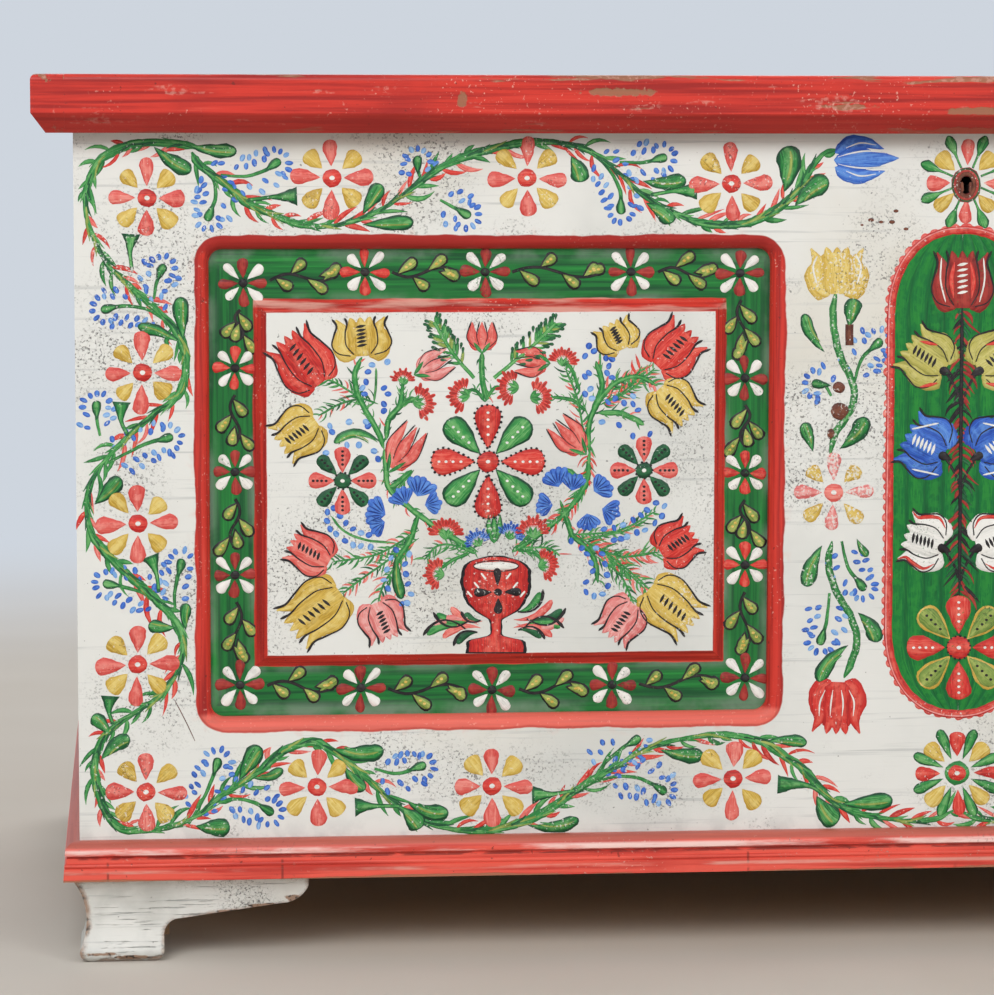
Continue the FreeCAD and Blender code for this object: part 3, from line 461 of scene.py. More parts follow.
def worn_edges(p, reach, ragged):
    """Where a piece has an edge within reach, with a ragged border."""
    flat = p.add("NewGeometry").outputs["Normal"]
    rounded = p.add("Bevel", {"Radius": reach}, samples=6).outputs[0]
    same = p.add("VectorMath", {0: flat, 1: rounded}, operation="DOT_PRODUCT").outputs["Value"]
    return p.fade(p.plus(same, p.ragged(ragged, 4.0, 0.5)), 0.90, 0.80)


def grained(along, slow, quick):
    """How noise is stretched: slow along one axis, quick along the others."""
    return [slow if axis == along else quick for axis in range(3)]


def brushed(p, along):
    """Brush lines along one axis."""
    return p.streaks(grained(along, 7.0, 260.0))


def red_coat(p, along, main=RED, dark=RED_DARK, turned_share=None, turned_axis=2):
    """Old red paint brushed along one axis, and along another one in places. Gives colour and relief."""
    lines = brushed(p, along)
    if turned_share is not None:
        lines = p.blend(turned_share, lines, brushed(p, turned_axis))
    clouds = p.noise(11.0, 4.0)
    colour = p.mix(p.fade(lines, 0.36, 0.60), dark, main)
    colour = p.over(colour, dark, p.fade(clouds, 0.52, 0.74), 0.6)
    colour = p.over(colour, RED_LIGHT, p.fade(lines, 0.60, 0.74), 0.7)
    dust = p.both(p.blotches(420.0, 2.0, 0.64, 0.70), p.blotches(16.0, 3.0, 0.46, 0.62))
    colour = p.over(colour, RED_PALE, dust, 0.7)
    specks = p.blotches(300.0, 2.0, 0.70, 0.74)
    colour = p.over(colour, RED_BROWN, specks, 0.75)
    return colour, lines


def bare_wood(p, along, light=PINE, dark=PINE_DARK, plank=0):
    """Unpainted pine with its grain along one axis, another for every plank. Gives colour and relief."""
    wander = grained(along, 1.3, 19.0)
    place = p.add("VectorMath", {0: p.place, 1: (plank * 3.7,) * 3}, operation="ADD").outputs[0]
    rings = p.streaks(wander, 2.0, place, distortion=0.35)
    bands = p.calc("FRACT", p.times(rings, 11.0))
    late = p.fade(bands, 0.35, 0.95)
    fibres = p.streaks(grained(along, 12.0, 900.0))
    colour = p.mix(p.times(late, 0.62), light, dark)
    colour = p.over(colour, dark, p.fade(fibres, 0.52, 0.70), 0.45)
    colour = p.over(colour, PINE_OLD, p.blotches(5.0, 4.0, 0.50, 0.80), 0.55)
    return colour, p.plus(fibres, p.times(late, 0.5))


def front_material():
    """The front board: white outside with red rims round its sunk panels, bare inside. The rims carry painted
    shade at the top and a painted highlight at the bottom, and the keyhole's walls carry painted shade.
    """
    p = Paint("front_paint")
    colour, height = white_coat(p, 1.0, rubbed_places(FRONT_RUBBED, FRONT_FACE))
    halves = (WINDOW_X[1], WINDOW_Z[1])
    distance, reach_x, reach_z = frame_distance(p, WINDOW_X[0], WINDOW_Z[0], *halves, CORNER_RADIUS)
    upright = p.fade(p.minus(reach_x, reach_z), *MITRE_FADE)
    wobble = p.ragged(28.0, 3.0, RIM_WOBBLE)
    rim_edge = p.plus(distance, wobble)
    red, lines = red_coat(p, 0, turned_share=upright)
    # Painted shade: the top of each rim is darkened, as if in shadow.
    rim_top_painted_shade = p.fade(p.z, WINDOW_Z[0] + WINDOW_Z[1] - RIM_LIGHT_FADE, WINDOW_Z[0] + WINDOW_Z[1])
    red = p.over(red, RED_DARK, rim_top_painted_shade, 0.75)
    # Painted highlight: the bottom of each rim, which faces up, is lightened.
    rim_low_painted_highlight = p.fade(p.z, WINDOW_Z[0] - WINDOW_Z[1] + RIM_LIGHT_FADE, WINDOW_Z[0] - WINDOW_Z[1])
    red = p.over(red, RIM_PAINTED_HIGHLIGHT, rim_low_painted_highlight, 0.6)
    smear = p.both(p.fade(rim_edge, *RIM_SMEAR), p.blotches(70.0, 4.0, 0.52, 0.70))
    colour = p.over(colour, RED_PALE, smear, 0.35)
    red_mask = p.fade(rim_edge, *RIM_PAINT)
    colour = p.mix(red_mask, colour, red)
    outline = p.both(p.fade(rim_edge, *RIM_OUTLINE), red_mask)
    colour = p.over(colour, RED_DARK, outline, 0.5)
    low = p.fade(p.z, board_low.z + DIRT_HEIGHT, board_low.z)
    low_dirt = p.both(low, p.blotches(60.0, 4.0, 0.40, 0.62))
    colour = p.over(colour, WHITE_GREY, low_dirt, 0.4)
    wood = bare_wood(p, 0)[0]
    inside = p.fade(p.y, *BARE_INSIDE)
    inside = p.both(inside, p.fade(p.size(p.x), *BARE_ENDS))
    colour = p.mix(inside, colour, wood)
    hole = on_face(np.array([KEYHOLE]), FRONT_FACE)[0]
    off_hole = p.add("VectorMath", {0: p.place, 1: tuple(hole)}, operation="DISTANCE").outputs["Value"]
    facing = p.facing()[1]
    # Painted shade: the keyhole's inner walls are painted near black.
    keyhole_painted_shade = p.both(p.fade(off_hole, *HOLE_SHADE_REACH), p.fade(p.size(facing), 0.6, 0.4))
    colour = p.mix(keyhole_painted_shade, colour, SPECK)
    height = p.blend(red_mask, height, lines)
    return p.done(colour, 0.55, height, PAINT_RELIEF)


def panel_material():
    """A fielded panel: green band with painted shade towards the rim, red bevel with a painted highlight on
    its top, white field, bare behind.
    """
    p = Paint("panel_paint")
    white, height = white_coat(p, 1.0, rubbed_places(FIELD_RUBBED, FIELD_FACE))
    bevel_x = WINDOW_X[1] - BEVEL_INSET_X
    bevel_z = WINDOW_Z[1] - BEVEL_INSET_Z
    distance, reach_x, reach_z = frame_distance(p, WINDOW_X[0], WINDOW_Z[0], bevel_x, bevel_z, BEVEL_CORNER)
    upright = p.fade(p.minus(reach_x, reach_z), *MITRE_FADE)
    level_lines = p.streaks((8.0, 8.0, 300.0))
    upright_lines = p.streaks((300.0, 300.0, 8.0))
    lines = p.blend(upright, level_lines, upright_lines)
    green = p.mix(p.fade(lines, 0.36, 0.56), GREEN_DARK, GREEN)
    green = p.over(green, GREEN_LIGHT, p.fade(lines, 0.58, 0.72), 0.8)
    band = p.apart(distance, BEVEL_INSET_X / 2)
    edges = p.fade(band, *BAND_DUST)
    dust = p.both(edges, p.blotches(24.0, 4.0, 0.38, 0.64))
    green = p.over(green, GREEN_GREY, dust, 0.75)
    # Painted shade: dark green blotches on the band towards the rim.
    shade = p.both(p.blotches(12.0, 3.0, 0.52, 0.72), p.fade(distance, *BAND_PAINTED_SHADE))
    green = p.over(green, GREEN_DARK, shade, 0.5)
    wobble = p.ragged(34.0, 3.0, BEVEL_WOBBLE)
    edge = p.plus(distance, wobble)
    red = red_coat(p, 0, turned_share=upright)[0]
    # Painted highlight: pale streaks on the top bevel, which faces up.
    top = p.both(p.fade(reach_z, *BEVEL_TOP_HIGHLIGHT), p.fade(p.z, WINDOW_Z[0], WINDOW_Z[0] + BEVEL_HIGHLIGHT_RISE))
    worn = p.both(top, p.fade(p.streaks((14.0, 14.0, 160.0)), 0.40, 0.60))
    red = p.over(red, RED_PALE, worn, 0.8)
    colour = p.mix(p.fade(edge, *BEVEL_OUTER), green, red)
    inner = p.plus(distance, p.times(wobble, 0.4))
    colour = p.mix(p.fade(inner, *BEVEL_INNER), colour, white)
    wood = bare_wood(p, 0)[0]
    behind = p.fade(p.y, *BARE_BEHIND)
    colour = p.mix(behind, colour, wood)
    relief = p.blend(p.fade(distance, *RELIEF_CHANGE), height, lines)
    return p.done(colour, 0.5, relief, PAINT_RELIEF)


def side_material():
    """Side boards: white outside, bare inside and on their edges."""
    p = Paint("side_paint")
    colour, height = white_coat(p)
    wood = bare_wood(p, 1)[0]
    inside = p.fade(p.size(p.x), *BARE_SIDES)
    colour = p.mix(inside, colour, wood)
    return p.done(colour, 0.55, height, PAINT_RELIEF)


def foot_material(name, face=None):
    """Bracket feet: white, cracked and chipped to the wood at the lower edges."""
    p = Paint(name)
    white, height = white_coat(p, 1.3)
    lines = p.streaks((22.0, 22.0, 420.0), 5.0, roughness=0.65)
    cracked = p.fade(lines, 0.60, 0.66)
    colour = p.mix(p.times(p.blotches(30.0, 4.0, 0.40, 0.72), 0.6), white, FOOT_WHITE)
    colour = p.over(colour, WHITE_GREY, cracked, 0.7)
    deep = p.both(p.fade(lines, 0.66, 0.70), p.blotches(26.0, 3.0, 0.42, 0.58))
    colour = p.over(colour, SPECK, deep, 0.85)
    wear = p.plus(p.z, p.ragged(90.0, 4.0, FOOT_RAGGED))
    chipped = p.fade(wear, *FOOT_BARE)
    colour = p.over(colour, WOOD_BARE, chipped, 0.9)
    colour = p.over(colour, WHITE_GREY, p.fade(wear, *FOOT_GREY), 0.4)
    edges = p.both(worn_edges(p, FOOT_EDGE, 120.0), p.blotches(26.0, 3.0, 0.38, 0.50))
    if face:
        edges = p.either(edges, worn_spots(p, FOOT_CHIPS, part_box(face)[0].y))
    colour = p.over(colour, WOOD_BARE, edges, 0.85)
    crumbs = p.both(edges, p.blotches(300.0, 3.0, 0.52, 0.60))
    colour = p.over(colour, SPECK, crumbs, 0.85)
    wood = bare_wood(p, 0)[0]
    facing = p.facing()
    hidden = p.fade(facing[1], 0.5, 0.7)
    colour = p.mix(hidden, colour, wood)
    relief = p.minus(height, p.plus(cracked, p.times(chipped, 2.0)))
    return p.done(colour, 0.65, relief, FOOT_RELIEF, 0.8)


def lid_edge_material(name, along):
    """The lid's moulded edge: worn red, bare wood showing in places, painted shade on the chamfer."""
    p = Paint(name)
    facing = p.facing()
    long_side = p.fade(p.size(facing[1]), 0.7, 0.5) if along == 1 else None
    colour, lines = red_coat(p, 0, turned_share=long_side, turned_axis=1)
    shares = grained(along, 16.0, 120.0)
    patch = p.streaks(shares)
    near_edge = p.either(p.fade(p.z, *LID_TOP_EDGE), p.fade(p.z, *LID_LOW_EDGE))
    bare = p.fade(p.plus(patch, p.times(near_edge, 0.10)), 0.66, 0.71)
    if along == 0:
        bare = p.either(bare, worn_spots(p, LID_BARE, moulding_low.y))
    colour = p.over(colour, WOOD_BARE, bare, 0.8)
    ground = p.both(p.fade(patch, 0.60, 0.66), p.blotches(240.0, 3.0, 0.45, 0.60))
    colour = p.over(colour, RED_PALE, ground, 0.4)
    # Painted shade: the chamfer, which faces down, is darkened.
    low = p.fade(p.z, *LID_CHAMFER_SHADE)
    colour = p.over(colour, CHAMFER_PAINTED_SHADE, low, 0.7)
    relief = p.minus(lines, p.times(bare, 0.8))
    return p.done(colour, 0.42, relief, EDGE_RELIEF)


def base_material(name, along):
    """Base moulding: bright red, dull on its top slope, a bead that is rubbed and has a painted highlight,
    painted shade in its groove, and a painted shine line on its lower band.
    """
    p = Paint(name)
    colour, lines = red_coat(p, along, BASE_RED, BASE_DARK)
    rise = p.minus(p.z, base_low.z)
    shares = grained(along, 10.0, 90.0)
    rub = p.streaks(shares, 5.0, roughness=0.65)
    slope = p.fade(rise, *BASE_SLOPE)
    colour = p.over(colour, BASE_DULL, slope, 0.7)
    # The bead's pale colour is partly rubbed paint and partly a painted highlight on its rounded nose.
    bead_rub_and_highlight = p.both(p.fade(p.apart(rise, BASE_BEAD), *BEAD_FADE), p.fade(rub, 0.38, 0.60))
    colour = p.over(colour, BEAD_RUB_AND_HIGHLIGHT, bead_rub_and_highlight, 0.95)
    broken = p.fade(p.streaks(grained(along, 60.0, 200.0)), 0.36, 0.52)
    # Painted shade: a dark broken line in the groove.
    groove_painted_shade = p.fade(p.apart(rise, BASE_GROOVE), *GROOVE_FADE)
    colour = p.over(colour, RED_BROWN, p.both(groove_painted_shade, broken), 0.8)
    if along == 0:
        across = p.times(p.size(p.x), -1.0)
        drawn = np.array([(x, IMAGE_HEIGHT) for x in BASE_SEAMS], float)
        for spot in on_face(drawn, base_low.y):
            seam = p.fade(p.apart(across, spot[0]), *BASE_SEAM_FADE)
            seam = p.both(seam, p.fade(rise, *BASE_SEAM_TOP))
            colour = p.over(colour, RED_BROWN, p.both(seam, broken), 0.7)
    spotted = p.both(p.blotches(420.0, 3.0, 0.58, 0.66), p.blotches(9.0, 3.0, 0.48, 0.66))
    colour = p.over(colour, RED_BROWN, spotted, 0.55)
    chips = p.fade(p.minus(rise, p.times(rub, BASE_RAGGED)), *BASE_CHIPS)
    # Painted highlight: a pale shine line along the lower band.
    shine = p.both(p.fade(p.apart(rise, BASE_SHINE), *SHINE_FADE), p.fade(rub, 0.42, 0.62))
    colour = p.over(colour, RED_PALE, shine, 0.65)
    colour = p.over(colour, WOOD_BARE, chips, 0.8)
    dark = p.fade(p.streaks(grained(along, 34.0, 12.0), 3.0), 0.68, 0.74)
    colour = p.over(colour, RED_BROWN, dark, 0.6)
    relief = p.minus(lines, p.times(chips, 0.8))
    return p.done(colour, 0.42, relief, EDGE_RELIEF)


def lid_material(name, plank, node):
    """A lid plank: worn white on top, bare below, dark at its seams."""
    p = Paint(name)
    colour, height = white_coat(p)
    rub = p.fade(p.streaks((5.0, 40.0, 5.0), 5.0, roughness=0.65), 0.60, 0.70)
    colour = p.over(colour, PINE_DARK, rub, 0.5)
    wood = bare_wood(p, 0, plank=plank)[0]
    below = p.fade(p.z, *BARE_BELOW)
    colour = p.mix(below, colour, wood)
    colour = p.over(colour, PINE_SEAM, seam_lines(p, node, 1), 0.75)
    return p.done(colour, 0.5, height, WOOD_RELIEF)


def pine_material(name, along, light=PINE, dark=PINE_DARK, plank=0, node=None, seam_axis=1):
    """Bare pine with its grain along one axis, and dark edges if it is a plank."""
    p = Paint(name)
    colour, fibres = bare_wood(p, along, light, dark, plank)
    if node:
        colour = p.over(colour, PINE_SEAM, seam_lines(p, node, seam_axis), 0.75)
    return p.done(colour, 0.68, fibres, WOOD_RELIEF)


def iron_material():
    """Forged iron: dark, hammered and a little rusty."""
    p = Paint("forged_iron_paint")
    hammer = p.noise(120.0, 3.0)
    rust = p.fade(p.noise(34.0, 5.0, roughness=0.65), 0.54, 0.70)
    colour = p.mix(p.fade(hammer, 0.35, 0.65), IRON_DARK, IRON)
    colour = p.over(colour, IRON_RUST, rust, 0.75)
    p.shader.inputs["Metallic"].default_value = 0.75
    roughness = p.add("MapRange", {"Value": rust, "To Min": 0.42, "To Max": 0.85}).outputs["Result"]
    return p.done(colour, roughness, hammer, IRON_RELIEF)


def brush_material(name, shades, under):
    """Brushed ornament: streaks along each stroke, its own tone, worn through to what is under it."""
    p = Paint(name)
    dark, main, light = shades
    brush = p.add("Attribute", attribute_name="brush").outputs["Vector"]
    part = p.add("SeparateXYZ", {0: p.add("Attribute", attribute_name="part").outputs["Vector"]}).outputs
    tone = p.add("SeparateXYZ", {0: brush}).outputs[2]
    streaks = p.streaks((0.055, 0.75, 40.0), 3.0, brush)
    shade = p.plus(streaks, p.times(p.minus(tone, 0.5), 0.22))
    colour = p.mix(p.fade(shade, 0.30, 0.50), dark, main)
    colour = p.over(colour, light, p.fade(shade, 0.54, 0.74), 0.85)
    across = p.size(part[1])
    colour = p.over(colour, light, p.fade(across, 0.5, 0.0), 0.25)
    colour = p.over(colour, dark, p.fade(across, 0.55, 0.95), 0.6)
    middle = p.fade(across, 0.85, 0.2)
    wash = p.both(middle, p.blotches(240.0, 4.0, 0.42, 0.62))
    colour = p.over(colour, light, wash, 0.6)
    grit = p.plus(p.noise(560.0, 3.0), p.times(middle, 0.035))
    patch = p.noise(13.0, 3.0)
    worn = p.plus(grit, p.times(p.minus(patch, 0.5), 0.50))
    worn = p.plus(worn, p.times(part[2], 0.22))
    colour = p.over(colour, under, p.fade(worn, 0.68, 0.77), 0.8)
    pitted = p.fade(p.plus(patch, p.times(part[2], 0.12)), 0.50, 0.64)
    pits = p.both(p.blotches(640.0, 2.0, 0.60, 0.67), pitted)
    colour = p.over(colour, SPECK, pits, 0.6)
    return p.done(colour, 0.42, shade, BRUSH_RELIEF)


# Brush strokes: each is a thin closed ridge of paint
SINK = 0.12 * MM
COAT_FIRST = 0.05 * MM
COAT_STEP = 0.06 * MM
CROWN_MOST = 0.03 * MM
CROWN_SLOPE = 0.006 * MM
SHOULDER_SHARE = 0.86
HAIR = 0.3
COLUMNS = 5
UNSTEADY_SHARE = 0.07
UNSTEADY_MOST = 0.5
STREAK_SPREAD = 400.0
SHARP_ANGLE = math.radians(50)
WOOD_SLOT = "white_painted_wood"

# Sizes and colours of the strokes, in units of the drawing
POINT_GAP = 3.0
FINE_GAP = 2.5
FINEST_GAP = 2.0
FINE = 1.0
VINE_COLOURS = ("red", "green", "red", "leaf", "coral", "green")
VINE_THORN_GAP = 8.0
VINE_THORN = 24.0
VINE_DAB_FIRST = 4.0
VINE_DAB_LAST = 40.0
VINE_DAB = 36.0
VINE_DAB_GAP = 12.0
CUP_WIDTH = 20.0
CUP_STEM = 2.1
SPRIG_KNOB = (("forest", 14.0, 5.5, 5.2, 3, 10), ("leaf", 10.0, 4.5, 3.6, 4, 9))
SPRIG_ROWS = (7.0, 14.5)
SPRIG_FAN = 9.5
BERRY_START = 4.0
BERRY_GAP = 6.0
BERRY_LENGTH = 7.4
BERRY_HALF = 2.6
PLUME_GAP = 4.0
PLUME_HALF = 2.0
PLUME_TIP = (5.5, 1.5, 1.7)
TULIP_LINE = 1.6
TULIP_DASH = 1.7
BUD_LINE = 0.9
SEPAL_HALF = 2.2
FLOWER_DISC = 9.6
FLOWER_DOT = 2.7

# Petals and their edges, as shares of a motif's length and half width
TULIP_PETAL_SHARES = ((0.02, 0.2), (0.15, 0.55), (0.4, 0.66), (0.7, 0.6), (0.99, 0.82))
TULIP_EDGE_SHARES = (
    ((0.02, 0.4), (0.1, 0.8), (0.32, 1.0), (0.6, 0.9), (0.82, 0.8), (1.02, 0.94)),
    ((0.05, 0.28), (0.3, 0.52), (0.62, 0.53), (0.86, 0.45), (1.03, 0.52)),
)
BUD_EDGE_SHARES = (((0.1, 0.5), (0.42, 1.02), (0.98, 0.72)), ((0.18, 0.2), (0.5, 0.36), (0.98, 0.16)))

# All strokes so far, by their colour, ground, body and slot
coats = {}


class Sheet:
    """A flat face to paint on: puts drawing points on it."""

    def __init__(self, under, body, slot):
        self.under = under
        self.body = body
        self.slot = slot


class FrontSheet(Sheet):
    """A face of the front, drawn as it is seen from the camera; mirrored for the other half."""

    def __init__(self, depth, under, mirrored):
        super().__init__(under, "carcase", WOOD_SLOT)
        self.depth = depth
        self.sign = -1.0 if mirrored else 1.0

    def place(self, points, height):
        spots = on_face(points, self.depth)
        spots[:, 0] *= self.sign
        spots[:, 1] = self.depth - height
        return spots


class PlainSheet(Sheet):
    """Any other face: a drawing with its middle at one place and two directions on the face."""

    def __init__(self, middle, across, down, out, under, body, slot):
        super().__init__(under, body, slot)
        self.middle = np.array(middle)
        self.across = np.array(across)
        self.down = np.array(down)
        self.out = np.array(out)

    def place(self, points, height):
        spread = points[:, :1] * self.across + points[:, 1:] * self.down
        return self.middle + spread * DRAWING_UNIT + self.out * height


def smooth(points, gap=POINT_GAP):
    """A smooth line through the points, with a point about every gap."""
    points = np.array(points, float)
    reach = np.linalg.norm(np.diff(points, axis=0), axis=1).sum()
    count = max(5, int(reach / gap))
    padded = np.vstack([2 * points[0] - points[1], points, 2 * points[-1] - points[-2]])
    where = np.linspace(0, len(points) - 1, count)
    start = np.minimum(where.astype(int), len(points) - 2)
    t = (where - start)[:, None]
    a, b, c, d = (padded[start + step] for step in range(4))
    return 0.5 * (2 * b + (c - a) * t + (2 * a - 5 * b + 4 * c - d) * t**2 + (3 * b - a - 3 * c + d) * t**3)


def eased(count):
    """Shares from 0 to 1, closer together at the ends."""
    return 0.5 - 0.5 * np.cos(np.linspace(0, math.pi, count))


def teardrop(t):
    """Narrow at the start, full and round at the end."""
    return t**0.85 * np.sqrt(np.clip(1 - t**3.6, 0, 1)) / 0.635


def thorn_shape(t):
    """Full at the start, drawn out to a point."""
    return np.clip(1 - t, 0, 1) ** 0.8 * (0.7 + 0.9 * t)


def sickle_shape(t):
    """Pointed at both ends and fuller near the start."""
    return np.sin(math.pi * t**0.7) ** 0.8


def line_shape(t):
    """Even, with rounded ends."""
    return np.sqrt(np.clip(np.minimum(t, 1 - t) * 9, 0.02, 1))


def bowed_shape(t):
    """Pointed at both ends and full in the middle."""
    return np.sin(math.pi * t) ** 0.75


def oval_shape(t):
    """An even oval."""
    return np.sqrt(np.clip(4 * t * (1 - t), 0, 1))


def swelling_shape(t):
    """A line that swells to a blunt end."""
    return (0.42 + 0.58 * t**2.5) * np.sqrt(np.clip((1 - t) * 12, 0.02, 1))


def knob_shape(t):
    """A thin stalk that ends in a round knob."""
    rise = np.clip((t - 0.35) / 0.4, 0, 1)
    return (0.2 + 0.8 * rise**2 * (3 - 2 * rise)) * np.sqrt(np.clip((1 - t) * 6, 0, 1))


def arc_length(line):
    """How far along a line each of its points is."""
    return np.concatenate([[0], np.cumsum(np.linalg.norm(np.diff(line, axis=0), axis=1))])


def unit(vector):
    """The direction of a vector."""
    return vector / max(np.linalg.norm(vector), TINY)


def crosswise(vector):
    """A vector turned a quarter round in the drawing."""
    return np.array((-vector[1], vector[0]))


def turned(vector, angle):
    """A vector turned in the drawing."""
    c = math.cos(angle)
    s = math.sin(angle)
    return np.array((c * vector[0] - s * vector[1], s * vector[0] + c * vector[1]))


def clock(angle):
    """A direction, clockwise from straight up in the drawing."""
    return np.array((math.sin(angle), -math.cos(angle)))


def within(spot, area):
    """Whether a place lies in a box of the drawing."""
    left, top, right, bottom = area
    return left < spot[0] < right and top < spot[1] < bottom


def around(x, y, side_x, side_y, points):
    """Points of a motif about a place, mirrored by the signs of its sides."""
    return [(x + side_x * u, y + side_y * v) for u, v in points]


class Brush:
    """Draws the ornament on one sheet."""

    def __init__(self, sheet, seed, area=None, wear=0.0, hole=None):
        self.sheet = sheet
        self.rng = np.random.default_rng(seed)
        self.area = area
        self.hole = hole
        self.wear = wear

    def inside(self, spot):
        """Whether a place is on the face that is painted."""
        if self.hole is not None and within(spot, self.hole):
            return False
        return self.area is None or within(spot, self.area)

    def pick(self, things):
        """One of several things, by chance."""
        return things[int(self.rng.integers(len(things)))]

    def vary(self, amount):
        """A share near 1."""
        return 1 + self.rng.uniform(-amount, amount)

    def stroke(self, colour, line, halves, layer=1, wear=0.0):
        """One stroke along a line, with its half widths."""
        line = np.asarray(line, float)
        halves = np.maximum(np.broadcast_to(halves, len(line)), HAIR)
        ahead = np.gradient(line, axis=0)
        ahead /= np.maximum(np.linalg.norm(ahead, axis=1), TINY)[:, None]
        aside = np.stack([-ahead[:, 1], ahead[:, 0]], axis=1)
        run = arc_length(line)
        top = COAT_FIRST + layer * COAT_STEP
        crown = top + np.minimum(CROWN_MOST, halves * CROWN_SLOPE)
        shoulder = np.full(len(line), top)
        low = np.full(len(line), -SINK)
        shares = (-1.0, -SHOULDER_SHARE, 0.0, SHOULDER_SHARE, 1.0)
        columns = zip(shares, (low, shoulder, crown, shoulder, low))
        count = len(line)
        spots = np.empty((count, COLUMNS, 3))
        brush = np.empty((count, COLUMNS, 3))
        part = np.empty((count, COLUMNS, 3))
        offset, tone = self.rng.uniform(0, STREAK_SPREAD), self.rng.uniform(0, 1)
        unsteady = np.minimum(halves * UNSTEADY_SHARE, UNSTEADY_MOST if layer > 1 else 0.0)
        for column, (share, height) in enumerate(columns):
            phase = offset + 1.3 * np.sign(share)
            sway = np.sin(run * 0.33 + phase) + 0.6 * np.sin(run * 0.8 + phase * 1.7)
            edge = line + aside * ((halves + unsteady * sway) * share)[:, None]
            placed = self.sheet.place(edge, 0.0)
            lifted = self.sheet.place(edge, 1.0)
            spots[:, column] = placed + (lifted - placed) * height[:, None]
            brush[:, column] = np.stack([run + offset, halves * share, np.full(count, tone)], axis=1)
            part[:, column] = np.stack(
                [run / max(run[-1], HAIR), np.full(count, share), np.full(count, self.wear + wear)], axis=1
            )
        key = (colour, self.sheet.under, self.sheet.body, self.sheet.slot)
        coat = coats.setdefault(key, {"spots": [], "brush": [], "part": [], "faces": [], "size": 0})
        first = coat["size"]
        for row in range(count - 1):
            near = first + row * COLUMNS
            far = near + COLUMNS
            for column in range(COLUMNS):
                beside = (column + 1) % COLUMNS
                coat["faces"].append((near + column, near + beside, far + beside, far + column))
        last = first + (count - 1) * COLUMNS
        coat["faces"].append(tuple(first + column for column in reversed(range(COLUMNS))))
        coat["faces"].append(tuple(last + column for column in range(COLUMNS)))
        coat["spots"].append(spots.reshape(-1, 3))
        coat["brush"].append(brush.reshape(-1, 3))
        coat["part"].append(part.reshape(-1, 3))
        coat["size"] += count * COLUMNS

    def drop(self, colour, base, tip, half, layer=2, shape=teardrop, bend=0.0, wear=0.0, count=9):
        """A stroke from base to tip, shaped by its half width."""
        base = np.array(base, float)
        along = np.array(tip, float) - base
        aside = crosswise(along)
        t = eased(count)
        line = base + np.outer(t, along) + np.outer(4 * t * (1 - t) * bend, aside)
        self.stroke(colour, line, half * shape(t), layer, wear)

    def curve(self, colour, points, half, layer=2, shape=line_shape, gap=POINT_GAP, wear=0.0):
        """A stroke along a smooth curve."""
        line = smooth(points, gap)
        self.stroke(colour, line, half * shape(np.linspace(0, 1, len(line))), layer, wear)

    def dot(self, colour, spot, radius, layer=4, squash=1.0, wear=0.0):
        """A round dab."""
        t = eased(8) * 2 - 1
        line = np.array(spot, float) + np.outer(t * radius, (1.0, 0.0))
        self.stroke(colour, line, radius * squash * np.sqrt(np.clip(1 - t**2, 0, 1)), layer, wear)

    def ring(self, colour, spot, radius, half, layer=4, squash=1.0, wear=0.0):
        """A closed ring."""
        angles = np.linspace(0, 2 * math.pi * 1.02, max(14, int(radius * 1.4)))
        line = np.array(spot, float) + np.stack([np.cos(angles), np.sin(angles) * squash], axis=1) * radius
        self.stroke(colour, line, half, layer, wear)

    def dotted(self, colour, line, gap, radius, layer=5):
        """A row of dabs along a line."""
        line = np.asarray(line, float)
        run = arc_length(line)
        for place in np.arange(gap / 2, run[-1], gap):
            spot = (np.interp(place, run, line[:, 0]), np.interp(place, run, line[:, 1]))
            self.dot(colour, spot, radius * self.vary(0.2), layer)

    def petal_edge(self, base, tip, half):
        """The outline of a drop-shaped petal."""
        base = np.array(base, float)
        along = np.array(tip, float) - base
        aside = unit(crosswise(along))
        t = eased(16)
        out = np.outer(half * teardrop(t), aside)
        middle = base + np.outer(t, along)
        return np.vstack([middle + out, (middle - out)[::-1]])

    def flower(self, spot, petals, layer=2, turn=0.0, wear=0.0, loose=1.0, shape=teardrop):
        """A ring of petals, clockwise from the top: colour, inner and outer radius, half width."""
        spot = np.array(spot, float)
        for index, (colour, inner, outer, half) in enumerate(petals):
            way = clock(turn + 2 * math.pi * index / len(petals) + self.rng.uniform(-0.07, 0.07) * loose)
            reach = outer * self.vary(0.07 * loose)
            width = half * self.vary(0.14 * loose)
            ends = (spot + way * inner, spot + way * reach)
            self.drop(colour, *ends, width, layer, shape, wear=wear, count=12)

    def daisy(self, spot, petals, disc="red", wear=0.0, disc_wear=0.0):
        """A flower of loose petals round a disc with a white dot."""
        self.flower(spot, petals, 4, wear=wear)
        self.dot(disc, spot, FLOWER_DISC, 5, wear=disc_wear)
        self.dot("white", spot, FLOWER_DOT, 6)

    def thorns(self, line, half, gap, colours, reach, layer=1, spread=0.62):
        """Thorns to both sides of a stem, pointing onwards."""
        run = arc_length(line)
        ahead = np.gradient(line, axis=0)
        side = 1.0
        place = gap
        while place < run[-1] - gap / 2:
            index = int(np.searchsorted(run, place))
            way = unit(ahead[index])
            out = crosswise(way) * side
            length = reach * self.vary(0.4)
            base = line[index] + out * half * 0.4
            tip = base + way * length * 0.8 + out * length * spread * self.vary(0.4)
            bend = side * self.rng.uniform(-0.06, 0.2)
            colour = self.pick(colours)
            if self.inside(tip):
                width = reach * 0.105 * self.vary(0.3)
                self.drop(colour, base, tip, width, layer, sickle_shape, bend, count=8)
            side = -side
            place += gap * self.vary(0.35)

